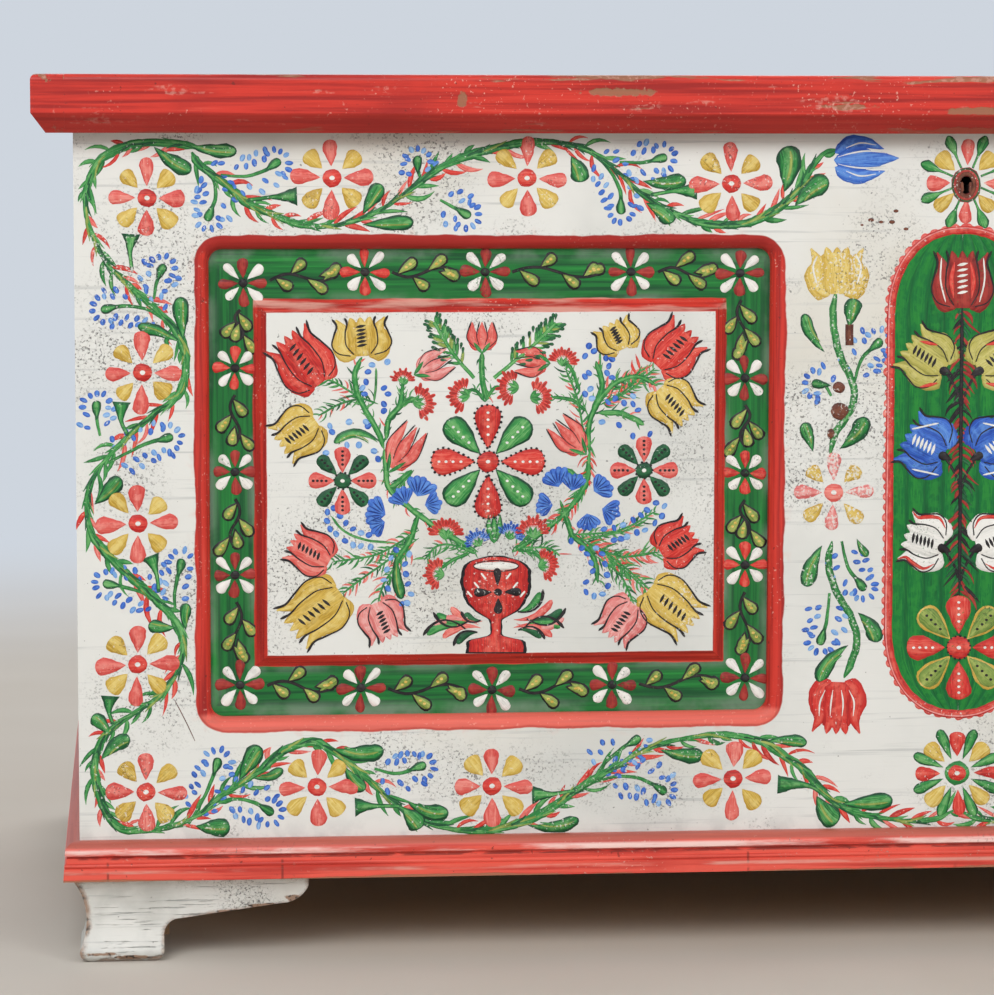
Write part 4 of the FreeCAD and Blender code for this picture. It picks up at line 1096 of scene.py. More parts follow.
    def vine(self, points, half):
        """A painted vine: thorns, a stem with a light line, and leafy dabs along it."""
        line = smooth(points)
        count = len(line)
        self.thorns(line, half, VINE_THORN_GAP, VINE_COLOURS, VINE_THORN, 1, 0.45)
        slow = np.sin(np.linspace(0, count * 0.07, count))
        quick = np.sin(np.linspace(0, count * 0.31, count))
        wave = 1 + 0.3 * slow + 0.12 * quick
        ends = np.clip(np.minimum(np.arange(count), np.arange(count)[::-1]) / 8 + 0.25, 0, 1)
        ahead = np.gradient(line, axis=0)
        aside = np.stack([-ahead[:, 1], ahead[:, 0]], axis=1)
        aside /= np.linalg.norm(aside, axis=1)[:, None]
        self.stroke("green", line, half * wave * ends, 2)
        self.stroke("leaf", line + aside * (half * 0.3 * wave)[:, None], half * 0.4 * wave * ends, 3)
        run = arc_length(line)
        side = 1.0
        place = VINE_DAB_FIRST
        while place < run[-1] - VINE_DAB_LAST:
            start = int(np.searchsorted(run, place))
            stop = int(np.searchsorted(run, place + VINE_DAB * self.vary(0.25)))
            t = np.linspace(0, 1, stop - start)
            drift = side * half * (1.7 * t**2 - 0.3)
            dab = line[start:stop] + aside[start:stop] * drift[:, None]
            if all(self.inside(spot) for spot in dab):
                colour = self.pick(("leaf", "forest", "green", "forest", "olive"))
                self.stroke(colour, dab, half * 0.5 * bowed_shape(t), 3)
            side = -side
            place += VINE_DAB_GAP * self.vary(0.3)

    def leaf(self, base, tip, width, bend=0.0):
        """A leaf with a dark edge, a lighter middle and two brush lines."""
        base = np.array(base, float)
        along = np.array(tip, float) - base
        half = width * 0.56
        aside = unit(crosswise(along))
        self.drop("forest", base, base + along, half, 3, bend=bend, count=14)
        self.drop("leaf", base + along * 0.06, base + along * 0.965, half * 0.8, 4, bend=bend, count=12)
        for side, colour in ((-0.28, "green"), (0.26, "olive")):
            shift = aside * half * side
            ends = (base + along * 0.25 + shift * 0.6, base + along * 0.9 + shift)
            self.drop(colour, *ends, half * 0.13, 5, line_shape, bend, 0.3)

    def cup(self, points, width):
        """A stem that flares into the cup of a flower."""
        line = smooth(points, FINE_GAP)
        t = np.linspace(0, 1, len(line))
        halves = CUP_STEM + (width / 2 - CUP_STEM) * np.clip((t - 0.4) / 0.6, 0, 1) ** 1.5
        self.stroke("forest", line, halves, 3)
        self.stroke("leaf", line[1:-1], halves[1:-1] * 0.72, 4)

    def sprig(self, points, colours=("blue", "blue", "blue", "sky"), half=2.0):
        """A thin stem with a knob at its end, between two rows of blue drops."""
        line = smooth(points, FINE_GAP)
        t = np.linspace(0, 1, len(line))
        self.stroke("green", line, half * (0.7 + 0.5 * t), 2)
        way = unit(line[-1] - line[-3])
        for colour, before, beyond, width, layer, count in SPRIG_KNOB:
            self.drop(colour, line[-1] - way * before, line[-1] + way * beyond, width, layer, count=count)
        run = arc_length(line)
        ahead = np.gradient(line, axis=0)
        for side in (-1.0, 1.0):
            place = run[-1] * 0.16 + self.rng.uniform(0, BERRY_START)
            outer = False
            while place < run[-1] - FINE:
                index = int(np.searchsorted(run, place))
                on = unit(ahead[index])
                out = crosswise(on) * side
                base = line[index] + out * SPRIG_ROWS[outer] * self.vary(0.12)
                to = unit(out + on * self.rng.uniform(0.1, 0.8))
                self.berry(base, to, self.pick(colours))
                outer = not outer
                place += BERRY_GAP * self.vary(0.2)
        for angle in np.linspace(-1.7, 1.7, 7):
            to = turned(way, angle + self.rng.uniform(-0.1, 0.1))
            self.berry(line[-1] + to * SPRIG_FAN * self.vary(0.12), to, self.pick(colours))

    def berry(self, base, way, colour):
        """A small blue drop."""
        tip = base + way * BERRY_LENGTH * self.vary(0.15)
        if self.inside(tip):
            self.drop(colour, base, tip, BERRY_HALF * self.vary(0.15), 2, oval_shape, count=8)

    def plume(self, points, reach):
        """A broad feather leaf with dark tips."""
        before, beyond, width = PLUME_TIP
        line = smooth(points, FINEST_GAP)
        run = arc_length(line)
        ahead = np.gradient(line, axis=0)
        self.stroke("leaf", line, PLUME_HALF, 3)
        for place in np.arange(run[-1] * 0.25, run[-1], PLUME_GAP):
            index = int(np.searchsorted(run, place))
            on = unit(ahead[index])
            length = reach * (0.55 + 0.45 * math.sin(math.pi * place / run[-1]))
            for side in (-1.0, 1.0):
                to = turned(on, side * 0.75 * self.vary(0.15))
                tip = line[index] + to * length * self.vary(0.15)
                if self.inside(tip):
                    colour = self.pick(("leaf", "olive", "green", "white"))
                    self.drop(colour, line[index], tip, PLUME_HALF, 2, bowed_shape)
                    self.drop("forest", tip - to * before, tip + to * beyond, width, 4, count=7)

    def feather(self, points, colours, gap=4.0, reach=10.0, half=1.1, core="green", layer=2):
        """A stem with fine strokes to both sides."""
        line = smooth(points, FINEST_GAP)
        self.thorns(line, half, gap * 0.6, colours, reach, layer)
        self.stroke(core, line, half * line_shape(np.linspace(0, 1, len(line))), layer + 1)

    def local(self, base, tip, width):
        """Places in a motif: share along it from its base, and to the side in half widths."""
        base = np.array(base, float)
        along = np.array(tip, float) - base
        aside = unit(crosswise(along)) * width / 2
        return lambda u, v: base + along * u + aside * v

    def petal(self, colour, points, half, taper, layer, wear):
        """A petal that swells fast and tapers to its tip."""
        spine = smooth(points, FINE_GAP)
        t = np.linspace(0, 1, len(spine))
        body = half * np.clip(t * 5 + 0.3, 0, 1) * np.clip((1 - t) * taper, 0.04, 1) ** 0.8
        self.stroke(colour, spine, body, layer, wear)

    def edges(self, colour, at, outlines, half, layer):
        """Fine lines along the petals on both sides of a motif."""
        for side in (-1.0, 1.0):
            for shares in outlines:
                points = [at(u, v * side) for u, v in shares]
                self.curve(colour, points, half, layer, swelling_shape, FINE_GAP)

    def tulip(self, base, tip, width, colour, line="black", dashes="black", wear=0.0, layer=3):
        """A tulip in side view: two flared petals behind, one in front, edged with a fine brush."""
        at = self.local(base, tip, width)
        half = width / 2
        for side in (-1.0, 1.0):
            points = [at(u, v * side) for u, v in TULIP_PETAL_SHARES]
            self.petal(colour, points, half * 0.37, 2.0, layer, wear)
        spine = smooth([at(0.0, 0.0), at(0.3, 0.0), at(0.6, 0.0), at(0.9, 0.0)], FINE_GAP)
        t = np.linspace(0, 1, len(spine))
        body = half * 0.52 * np.clip(t * 4 + 0.5, 0, 1) * np.clip((1 - t) * 4 + 0.7, 0, 1)
        self.stroke(colour, spine, body, layer + 1, wear)
        for tooth in (-0.26, 0.0, 0.26):
            ends = (at(0.8, tooth), at(1.02, tooth * 1.3))
            self.drop(colour, *ends, half * 0.19, layer + 1, thorn_shape, wear=wear)
        if line:
            self.edges(line, at, TULIP_EDGE_SHARES, TULIP_LINE, layer + 2)
        if dashes:
            for u in np.linspace(0.28, 0.78, 6):
                ends = (at(u - 0.02, -0.17), at(u + 0.02, 0.17))
                self.drop(dashes, *ends, TULIP_DASH, layer + 3, bowed_shape, count=7)

    def bud(self, base, tip, width, colour, line="black", wear=0.0, layer=3):
        """A closed tulip bud of three petals, with green sepals."""
        at = self.local(base, tip, width)
        half = width / 2
        for side, lean in ((-1.0, 0.62), (1.0, 0.62), (0.0, 0.0)):
            shares = ((0.02, 0.1), (0.4, lean), (0.96, lean * 1.05))
            points = [at(u, v * side) for u, v in shares]
            self.petal(colour, points, half * 0.42, 2.2, layer, wear)
        if line:
            self.edges(line, at, BUD_EDGE_SHARES, BUD_LINE, layer + 2)
        for side in (-1.0, 1.0):
            self.drop("green", at(-0.12, 0.0), at(0.26, 0.55 * side), SEPAL_HALF, layer + 2, bowed_shape)

    def carnation(self, spot, angle, radius, colour="red", tips="maroon", span=1.45, count=13):
        """A frilled fan of short strokes."""
        spot = np.array(spot, float)
        way = clock(math.radians(angle))
        root = spot - way * radius * 0.7
        arc = np.array([root + turned(way, angle) * radius * 0.95 for angle in np.linspace(-span, span, 14)])
        self.stroke("coral" if colour == "red" else "sky", arc, radius * 0.26, 3)
        for index in range(count):
            to = turned(way, (index / (count - 1) - 0.5) * 2 * span)
            reach = radius * (1.3 + 0.2 * (index % 2)) * self.vary(0.08)
            self.drop(colour, root + to * radius * 0.55, root + to * reach, radius * 0.15, 4, count=8)
            ends = (root + to * reach * 0.6, root + to * reach * 0.95)
            self.drop(tips, *ends, radius * 0.06, 5, bowed_shape, count=6)
        for side in (-1.1, -0.4, 0.4, 1.1):
            ends = (root - way * radius * 0.3, root + turned(way, side) * radius * 0.62)
            self.drop("leaf", *ends, radius * 0.17, 3, bowed_shape)

    def cornflower(self, spot, angle, radius):
        """A blue fan with dark rays."""
        spot = np.array(spot, float)
        way = clock(math.radians(angle))
        root = spot - way * radius * 0.55
        for index in range(5):
            to = turned(way, (index - 2) * 0.36)
            self.drop("blue", root, root + to * radius * 1.5 * self.vary(0.08), radius * 0.34, 3, count=9)
        for index in range(6):
            to = turned(way, (index - 2.5) * 0.3)
            ends = (root + to * radius * 0.3, root + to * radius * 1.25)
            self.drop("navy", *ends, radius * 0.06, 4, bowed_shape, count=7)


# Ornament of the front's white border, as it is seen in the picture
PLAIN_FLOWERS = (
    (147, 198), (332, 178), (527, 178), (731.5, 183.5), (142.5, 372.5), (138, 523.5),
    (137.7, 664.5), (146, 792), (317, 787), (492, 786), (733, 778.6),
)
FLOWER_PETALS = (("coral", 12.0, 40.0, 8.4), ("ochre", 14.0, 37.5, 9.4)) * 4
PALE_PETALS = (("pink", 12.0, 39.0, 7.6), ("ochre", 15.0, 38.0, 8.6)) * 4
RIM_BOX = (194.0, 233.0, 786.0, 733.0)
BORDER_AREA = (76.0, 137.5, 1000.0, 834.0)
PALE_FLOWER = (833.7, 492.6)
LONG_VINE = (
    (204, 149), (178, 144), (140, 143), (114, 151), (97.5, 163), (88, 184), (85.5, 200), (87, 219),
    (95, 240.5), (108, 265), (129.5, 286), (151, 305), (172.5, 326), (183, 345), (186, 366), (182, 388),
    (172.5, 401), (156.5, 412), (121.6, 442.7), (100, 467), (89.5, 488), (87, 510), (92, 534),
    (105.5, 552.5), (127, 574), (151, 595), (172.5, 617), (182, 633), (183, 654), (175, 676), (159, 697),
    (138, 710.5), (110.5, 730), (99, 746), (94.5, 767), (98, 789.5), (106, 812.5), (120, 828), (138, 831),
    (159, 829), (179, 824), (198, 815), (221, 796), (241, 783), (262, 769), (280, 753), (301, 743.6),
    (317, 742.5), (335.5, 753), (358.5, 771), (381.5, 792), (404, 810), (425.5, 822), (451, 829),
    (476.5, 831), (497, 829), (522.5, 822), (548, 810), (573.5, 792), (594, 779), (617, 766), (642, 751),
    (668, 742), (693.5, 737), (719, 734.5), (744.5, 737), (765, 743), (783, 755), (800, 766), (813, 780),
    (833, 801.5), (857, 812.5), (883, 818), (909, 821), (935, 819), (954, 810),
)
TOP_VINE = (
    (192, 152), (199, 164), (229, 187), (247.5, 203), (271.5, 214), (301, 224.5), (330.5, 226), (360, 219),
    (387, 206), (413.5, 187), (435, 171), (456.5, 160), (480, 152), (505, 146), (530, 142), (560, 143),
    (588, 150.5), (615.5, 170), (643, 195), (671, 211), (698, 222), (726, 225), (754, 221), (781, 206),
    (801, 186), (812, 167), (826, 152), (839.5, 150),
)
BORDER_LEAVES = (
    (188.6, 145.4, 236.8, 150.8, 14), (153.8, 146.8, 191.3, 170.9, 16), (362.7, 213.8, 381.5, 184.3, 16),
    (362.7, 224.5, 413.6, 221.8, 15), (571, 156, 582, 182, 18), (643, 181, 686, 179.5, 16),
    (646, 203, 673.5, 222, 17), (784, 192, 787, 146, 24), (795, 206, 828.5, 179.5, 20),
    (183.2, 339.7, 180.5, 296.8, 16), (180.5, 342.3, 137.7, 326.3, 12), (94.8, 504.3, 120.3, 477.5, 16),
    (185.9, 630.2, 187.2, 603.4, 11), (175.2, 627.5, 148.4, 624.8, 13), (110.9, 735, 92, 716, 14),
    (101.3, 759.7, 130, 737.9, 15), (239, 780.4, 259.7, 745.9, 18), (195.4, 826, 229.9, 826, 18),
    (252.8, 778, 282.7, 768.9, 10), (330.9, 748.2, 383.7, 749.4, 17), (344.7, 766.6, 365.3, 789.5, 14),
    (402, 808, 421, 828, 20), (407.7, 802, 448.5, 812.2, 16), (527.6, 825, 578.6, 818.6, 13),
    (660.2, 749.7, 703.6, 754.8, 15), (767.3, 741, 806.9, 743, 12), (841.6, 803.7, 892.6, 799.3, 17),
    (816.6, 796.1, 837.2, 823, 22), (824.5, 352, 804.4, 313.7, 12), (848.4, 327.1, 854.2, 298.4, 17),
    (839.8, 448.6, 865.6, 417, 17), (813, 451.4, 803.5, 422.8, 13), (822.1, 545.6, 806.9, 586.8, 16),
    (857.9, 612.8, 877.4, 642.1, 16), (848.1, 645.3, 818.8, 682.2, 15), (856.8, 539, 867.6, 556.4, 8),
)
BORDER_CUPS = (
    ((132, 270), (130, 252), (131, 234)), ((247.5, 200), (274, 197), (297, 196)),
    ((128, 436), (121, 420), (121.6, 402)), ((159, 592), (156, 572), (150, 556)),
    ((113, 724), (109, 712), (109.6, 696)), ((402, 806), (376, 806), (355, 806.7)),
    ((577, 790), (553, 794), (532, 795)), ((833, 801.5), (809, 786), (777.6, 784)),
    ((651, 195), (674, 191), (697, 190.6)),
)
BORDER_SPRIGS = (
    ((196.6, 163), (212.7, 179), (215.4, 197.7), (208.7, 216)),
    ((220.7, 175), (244.8, 176.3), (263.6, 171), (276, 163)), ((421, 180), (418, 170), (417.6, 161)),
    ((440, 200), (453, 207), (466, 214)), ((588, 150.5), (607, 167), (619.5, 189), (621, 209)),
    ((619.5, 162), (643, 162.5), (662, 158)), ((153.8, 299), (156.5, 283), (162, 269)),
    ((172.5, 326), (148.4, 310), (124, 306), (106, 309)),
    ((105.5, 464), (127, 453), (148, 443), (168, 438)), ((100, 436), (97, 420), (96.5, 406)),
    ((175, 611), (175, 590), (181, 564)), ((167, 611), (148.4, 595.4), (124, 587), (108, 584)),
    ((188.6, 824), (202.3, 801), (211.5, 780.4), (217.3, 763)),
    ((218.4, 803), (234.5, 799), (252.8, 802), (269, 811)), ((374.5, 769), (397.5, 773.5), (421, 766)),
    ((594, 779), (604, 764), (622, 748.5), (636, 740)),
    ((596.4, 781.6), (616.8, 776.5), (637.2, 777.8), (652.6, 784.2), (662, 790)),
    ((854.2, 382.6), (861.8, 359), (878, 343)), ((831.2, 396), (825.5, 386), (817, 384)),
    ((841.6, 541.2), (848.1, 567.2), (862, 586)), ((829.6, 593), (826.4, 621.5), (821, 640)),
)
PILLAR_STEMS = (
    (
        (836, 291), (833, 312), (835, 335), (841, 358), (852, 381), (854, 400), (846.5, 417), (835, 434),
        (830, 455),
    ),
    ((832, 541), (828.6, 565), (837, 593), (850, 615), (857, 639), (852, 660.5), (844, 678)),
)
BROWN_SPOTS = (
    (849.4, 334.8, 4.3, 10.5), (838.9, 387.4, 6.2, 6.2), (839.8, 411.3, 9.0, 9.5), (831.2, 434.2, 4.0, 6.0),
)
BELL_PETALS = (
    (((835, 153), (850, 144), (866, 143), (884, 149)), 8.5),
    (((835, 167), (850, 175), (866, 176), (885, 171)), 8.5),
    (((834, 160), (856, 160), (876, 159), (899, 158)), 11.5),
)
BELL_LINES = (
    ((838, 157), (852, 153), (868, 151), (886, 153)), ((838, 164), (852, 167), (868, 168), (886, 166)),
    ((846, 148), (860, 143), (876, 145)), ((846, 171), (860, 176), (876, 174)),
)
BORDER_VINES = ((LONG_VINE, 3.7), (TOP_VINE, 3.6))
PILLAR_STEM_HALF = 4.0
PILLAR_LIGHT_HALF = 2.7
BELL_LINE = 0.9
BORDER_TULIPS = (((837, 294), (837, 248), 64, "ochre", 0.3), ((838, 682), (836, 733), 58, "red", 0.2))
OCHRE_TULIP_X = 837
OCHRE_TULIP_LINE = ((20, 284), (24, 268), (20, 256))
RED_TULIP_LINES = (
    ((825.1, 690), (820, 702), (819, 716)), ((832.8, 690), (831, 702), (830, 716)),
    ((841.2, 690), (843, 702), (842, 716)), ((848.9, 690), (854, 702), (853, 716)),
)
CRACK_HALF = 0.5
CHIP_RADIUS = 2.2
FRONT_CRACK = ((174.6, 700), (183, 716), (188, 726), (195, 741))
CHIPS = ((862, 225), (871, 220), (881, 222), (892, 222), (896, 211), (906, 229))


def draw_border(brush):
    """The white border of one half of the front."""
    for points, half in BORDER_VINES:
        brush.vine(points, half)
    for stem in PILLAR_STEMS:
        brush.curve("green", stem, PILLAR_STEM_HALF, 2, wear=0.25)
        brush.curve("leaf", stem, PILLAR_LIGHT_HALF, 3, wear=0.35)
    for points in BORDER_SPRIGS:
        brush.sprig(points)
    for x0, y0, x1, y1, width in BORDER_LEAVES:
        brush.leaf((x0, y0), (x1, y1), width, brush.rng.uniform(-0.12, 0.12))
    for points in BORDER_CUPS:
        brush.cup(points, CUP_WIDTH)
    for spot in PLAIN_FLOWERS:
        brush.daisy(spot, FLOWER_PETALS)
    brush.daisy(PALE_FLOWER, PALE_PETALS, "coral", 0.9, 0.3)
    for points, half in BELL_PETALS:
        brush.curve("blue", points, half, 3, sickle_shape)
    for points in BELL_LINES:
        brush.curve("white", points, BELL_LINE, 5, bowed_shape)
    for base, tip, width, colour, wear in BORDER_TULIPS:
        brush.tulip(base, tip, width, colour, None, None, wear)
    for points in RED_TULIP_LINES:
        brush.curve("white", points, FINE, 6, bowed_shape)
    for side in (-1.0, 1.0):
        brush.curve("white", around(OCHRE_TULIP_X, 0.0, side, 1.0, OCHRE_TULIP_LINE), FINE, 6)
    for x, y, half_x, half_y in BROWN_SPOTS[1:]:
        brush.dot("brown", (x, y), half_x, 3, half_y / half_x)
    x, y, half_x, half_y = BROWN_SPOTS[0]
    brush.stroke("brown", [(x, y + half_y * share) for share in (-1.0, -0.5, 0.0, 0.5, 1.0)], half_x, 3)
    brush.curve("brown", FRONT_CRACK, CRACK_HALF, 1)
    for spot in CHIPS:
        brush.dot("brown", spot, CHIP_RADIUS * brush.vary(0.4), 1, 0.7)


# Rosettes: colours of petals, edges, dots and disc, and the sizes that all of them share
ROSETTE_BRIGHT = ("red", "leaf", "black", "forest", "white", "red", "white")
ROSETTE_DARK = ("coral", "forest", None, None, "black", "forest", "black")
ROSETTE_OLIVE = ("red", "olive", None, "ochre", "white", "red", "black")
ROSETTE_ROOT = 2.0
ROSETTE_EDGE = 1.6
ROSETTE_EYE = 2.2
EDGE_DOTS = (5.4, 1.25)
PETAL_DOT = 1.5
DISC_DOTS = (5.0, 1.1)


def rosette_dots(brush, spot, inner, outer, half, turn, edge, middle):
    """Dots round and along four petals of a rosette."""
    for index in range(4):
        way = clock(turn + 2 * math.pi * index / 4)
        base = spot + way * inner
        tip = spot + way * outer
        if edge:
            brush.dotted(edge, brush.petal_edge(base, tip, half), *EDGE_DOTS, 6)
        for share in (0.32, 0.5, 0.66, 0.82):
            brush.dot(middle, base + (tip - base) * share, PETAL_DOT, 6)


def big_rosette(brush, spot, sizes, colours):
    """A dotted rosette: four petals upright and level, four between them."""
    inner, outer, half, disc_radius = sizes
    first, second, edge, second_edge, middle, disc, second_middle = colours
    spot = np.array(spot, float)
    turn = math.pi / 4
    if second_edge:
        behind = (second_edge, inner - ROSETTE_ROOT, outer + ROSETTE_EDGE, half * 0.88 + ROSETTE_EDGE)
        brush.flower(spot, (behind,) * 4, 3, turn, loose=0.0)
    brush.flower(spot, ((second, inner, outer, half * 0.88),) * 4, 4, turn, loose=0.0)
    brush.flower(spot, ((first, inner, outer, half),) * 4, 4, loose=0.0)
    rosette_dots(brush, spot, inner, outer, half, 0.0, edge, middle)
    rosette_dots(brush, spot, inner, outer, half * 0.8, turn, None, second_middle)
    brush.dot(disc, spot, disc_radius, 5)
    angles = np.linspace(0, 2 * math.pi, 13)
    ring = spot + np.stack([np.cos(angles), np.sin(angles)], axis=1) * disc_radius
    brush.dotted("black", ring, *DISC_DOTS, 6)
    brush.dot("white", spot, ROSETTE_EYE, 6)


# Ornament of the white field
FIELD_AREA = (266.0, 313.0, 709.5, 650.0)
FIELD_TULIPS = (
    (320, 384, 285, 337, 58, "red", 0.0), (362.6, 356, 360, 318, 60, "ochre", 0.1),
    (316, 421, 280, 446, 53, "ochre", 0.2), (623, 349, 610, 323, 46, "ochre", 0.3),
    (657, 366, 691, 331, 57, "red", 0.0), (660, 388, 688, 420, 50, "ochre", 0.2),
    (329, 562, 291, 541, 46, "coral", 0.3), (340, 592, 291, 630, 59, "ochre", 0.3),
    (375.7, 603, 390, 639, 48, "pink", 0.3), (661, 553, 694, 533, 49, "red", 0.1),
    (650, 588, 693, 625, 55, "ochre", 0.2), (634, 604, 609, 637, 47, "pink", 0.3),
)
FIELD_BUDS = (
    (482, 350, 482, 321, 30, "coral"), (418, 373, 452, 357, 30, "pink"),
    (391, 468, 418, 425.5, 34, "coral"), (546.5, 363, 514, 361, 30, "coral"),
    (583, 451, 554, 420.5, 32, "coral"),
)
FIELD_CARNATIONS = (
    (426, 401, 80, 13), (457, 394, 280, 13), (403, 375, 0, 9), (564, 355.5, 10, 11), (543, 396, 80, 13),
    (506, 386, 280, 13), (446, 526.5, 0, 13), (432.5, 573, 280, 12), (533, 525, 0, 13), (550, 564, 80, 12),
)
FIELD_CORNFLOWERS = (
    (420, 489, 20, 14), (378, 512, 290, 14), (403, 499, 330, 12), (431, 504, 80, 11), (379, 524, 250, 11),
    (556, 480, 340, 13), (573, 484, 10, 12), (600, 487.5, 60, 13), (546.5, 505, 270, 11),
    (608.5, 511, 110, 12), (588, 519.6, 170, 11),
)
FIELD_BLUE_DOTS = (
    (372, 365), (368, 372), (387.5, 362), (366, 382), (362.6, 388), (364.5, 394), (384, 388), (388, 394),
    (384, 404), (384, 411), (330, 426), (332, 432), (349, 422), (366, 422), (368, 426), (326, 453),
    (359, 445), (347, 445), (374, 451), (378, 459), (327.5, 512), (334, 508), (340, 516), (327, 521),
    (346, 523), (330, 529), (353, 529), (336, 534), (361, 533), (369, 535), (345, 541), (353, 545),
    (361, 546), (370.5, 547), (396, 550), (391, 558), (409, 554), (387, 569.5), (405, 564), (384, 580),
    (406, 574), (408, 584), (411, 594), (401.5, 604), (407, 603), (388, 588.5), (589, 346), (594, 351),
    (585, 356), (606, 358), (612, 359), (609, 366), (607, 373), (612, 377.5), (589, 373), (585, 376.5),
    (590.5, 389), (585, 394), (592, 398.5), (608, 402), (615, 398.5), (624, 403), (633, 396), (633, 404),
    (638, 410), (602, 422), (619, 425), (633, 436), (650, 434), (656, 503), (664.5, 506), (647, 510),
    (662, 516), (641, 515), (633, 520), (623, 525), (614, 528), (604, 529), (655, 523), (645, 530),
    (637, 532.5), (627, 537), (621, 539), (614, 540), (571, 541), (582, 548), (587, 554), (596, 548),
    (602, 554), (591, 563), (593, 571), (605, 564), (607, 575), (608, 586), (602.5, 594), (594, 596),
    (586, 592), (586, 582),
)
FIELD_STEMS = (
    ((384, 449), (378, 432), (366, 411), (357, 392), (355, 373), (362, 357)),
    ((386, 440), (389, 419), (399, 407), (403, 390)), ((395, 412), (405, 402), (416, 398)),
    ((384, 449), (386, 466), (387.5, 484), (400, 500), (440, 530), (478, 552)),
    ((589, 453), (589, 424), (600, 399.5), (617, 382), (638, 376.5), (657.5, 386)),
    ((592, 412), (602, 386), (596, 361)), ((598, 413), (619, 413), (634.5, 419), (644, 425)),
    ((589, 453), (586, 484), (566, 512), (534, 538), (512, 552)), ((482, 352), (482, 376), (486, 400)),
    ((560, 500), (572, 535), (574, 537), (593, 556), (598, 583)),
    ((419, 512), (410, 540), (398, 559), (395, 576), (403, 597)), ((412, 470), (396, 484), (388, 488)),
    ((566, 468), (580, 480), (586, 484)),
)
FIELD_FEATHERS = (
    ((378, 404), (358, 396), (334, 382), (318, 378)), ((362, 398), (340, 404), (318, 416)),
    ((419, 530), (390, 548), (371, 556), (332, 562)), ((419, 538), (380, 566), (360, 580), (342, 594)),
    ((412, 546), (386, 580), (378, 602)), ((585, 440), (577, 398), (566, 370)),
    ((577, 537), (619, 556), (660, 552)), ((606, 552), (634, 575), (650, 590)),
    ((596, 556), (620, 575), (634, 604)), ((572, 535), (620, 530), (656, 511)),
    ((470, 548), (440, 545), (424, 560)), ((520, 548), (548, 548), (560, 556)),
    ((600, 405), (630, 390), (655, 368)), ((414, 470), (400, 486), (392, 494)),
)
FIELD_TENDRILS = (
    ((331, 516), (344, 531), (366, 540), (396, 543)), ((648, 519), (628, 530), (606, 535), (580, 540)),
    ((376, 368), (376, 384), (374, 402)), ((600, 352), (600, 372), (601, 394)),
    ((580, 545), (592, 556), (598, 583)),
)
FIELD_FLOWER_STEMS = (
    ((485, 402), (475, 390), (463, 393)), ((485, 402), (494, 388), (502, 388)),
    ((587, 412), (572, 400), (551, 397)), ((580, 392), (573, 372), (565, 360)),
    ((476, 554), (461, 546), (449, 532)), ((470, 553), (453, 560), (440, 569)),
    ((512, 551), (524, 541), (532, 531)), ((516, 550), (532, 552), (544, 561)),
    ((399, 404), (402, 392), (403, 380)),
)
FIELD_RED_FEATHERS = (
    ((590, 440), (588, 470), (574, 500), (552, 524)), ((604, 396), (617, 383), (638, 377), (657, 386)),
    ((600, 405), (628, 388), (642, 366)), ((602, 552), (628, 573), (646, 590)),
    ((584, 541), (619, 556), (656, 552)),
)
FEATHER_LEAVES = (((474, 378), (452, 352), (434, 322)), ((494, 378), (528, 350), (556, 323)))
FIELD_LEAVES = (((380, 442), (334, 443), 9, 0.22), ((396, 554), (402, 599), 11, 0.05))
FIELD_BLUE_FANS = ((476, 537, 340, 10), (512, 530, 20, 10))
FIELD_GREEN_BUD = ((494, 540), (494.5, 514), 16)
FIELD_ROSETTE = (488, 461.7)
FIELD_ROSETTE_SIZES = (13, 57, 14, 11)
FIELD_SMALL_ROSETTES = ((342.5, 480.8), (644, 470.3))
SMALL_ROSETTE_SIZES = (8, 34, 8.6, 8.5)
FIELD_STEM_HALF = 3.1
FIELD_LIGHT_HALF = 1.7
FLOWER_STEM_HALF = 1.9
TENDRIL_HALF = 1.3
FIELD_PLUME = 17.0
FIELD_DROP = (3.5, 3.0)

# Gap, reach and stem of the feathers along the field's stems
STEM_FEATHER = (9.0, 9.0, 0.8)
FLOWER_FEATHER = (5.0, 7.0, 0.9)
RED_FEATHER = (4.5, 12.0, 1.0)

# The footed cup: its place, outline and marks
VASE = (496.0, 557.0)
VASE_EDGE = 1.4
VASE_MOUTH = 9.0
VASE_MOUTH_HALF = 22.0
VASE_LIP = (22.5, 0.6)
VASE_FLOWER = (2.0, 35.0)
VASE_PETAL = ("black", 6.0, 23.0, 4.6)
VASE_EYE = 4.2
VASE_MARKS = (((10, 22), (15, 16)), ((17, 31), (22, 25)), ((24, 40), (29, 34)))
VASE_MARK_HALF = 1.1
FAN_HALF = 4.3
FAN_LINE = (4.0, 2.2)
VASE_PROFILE = (
    (0, 6), (1.5, 18), (4, 26), (8, 32), (13, 35.5), (26, 36.5), (38, 34), (47, 29), (54, 22), (59, 13),
    (62, 6), (66, 5), (77, 5), (80, 9), (82, 26), (85, 30), (94, 31), (95, 31),
)
VASE_FANS = (
    ((491, 625), ((437, 613), (451, 607), (465, 613), (434, 625), (427, 635), (443, 638), (457, 644))),
    ((503, 625), ((540, 592), (552, 600), (562, 609), (564, 618), (560, 628), (552, 637), (541, 638))),
)


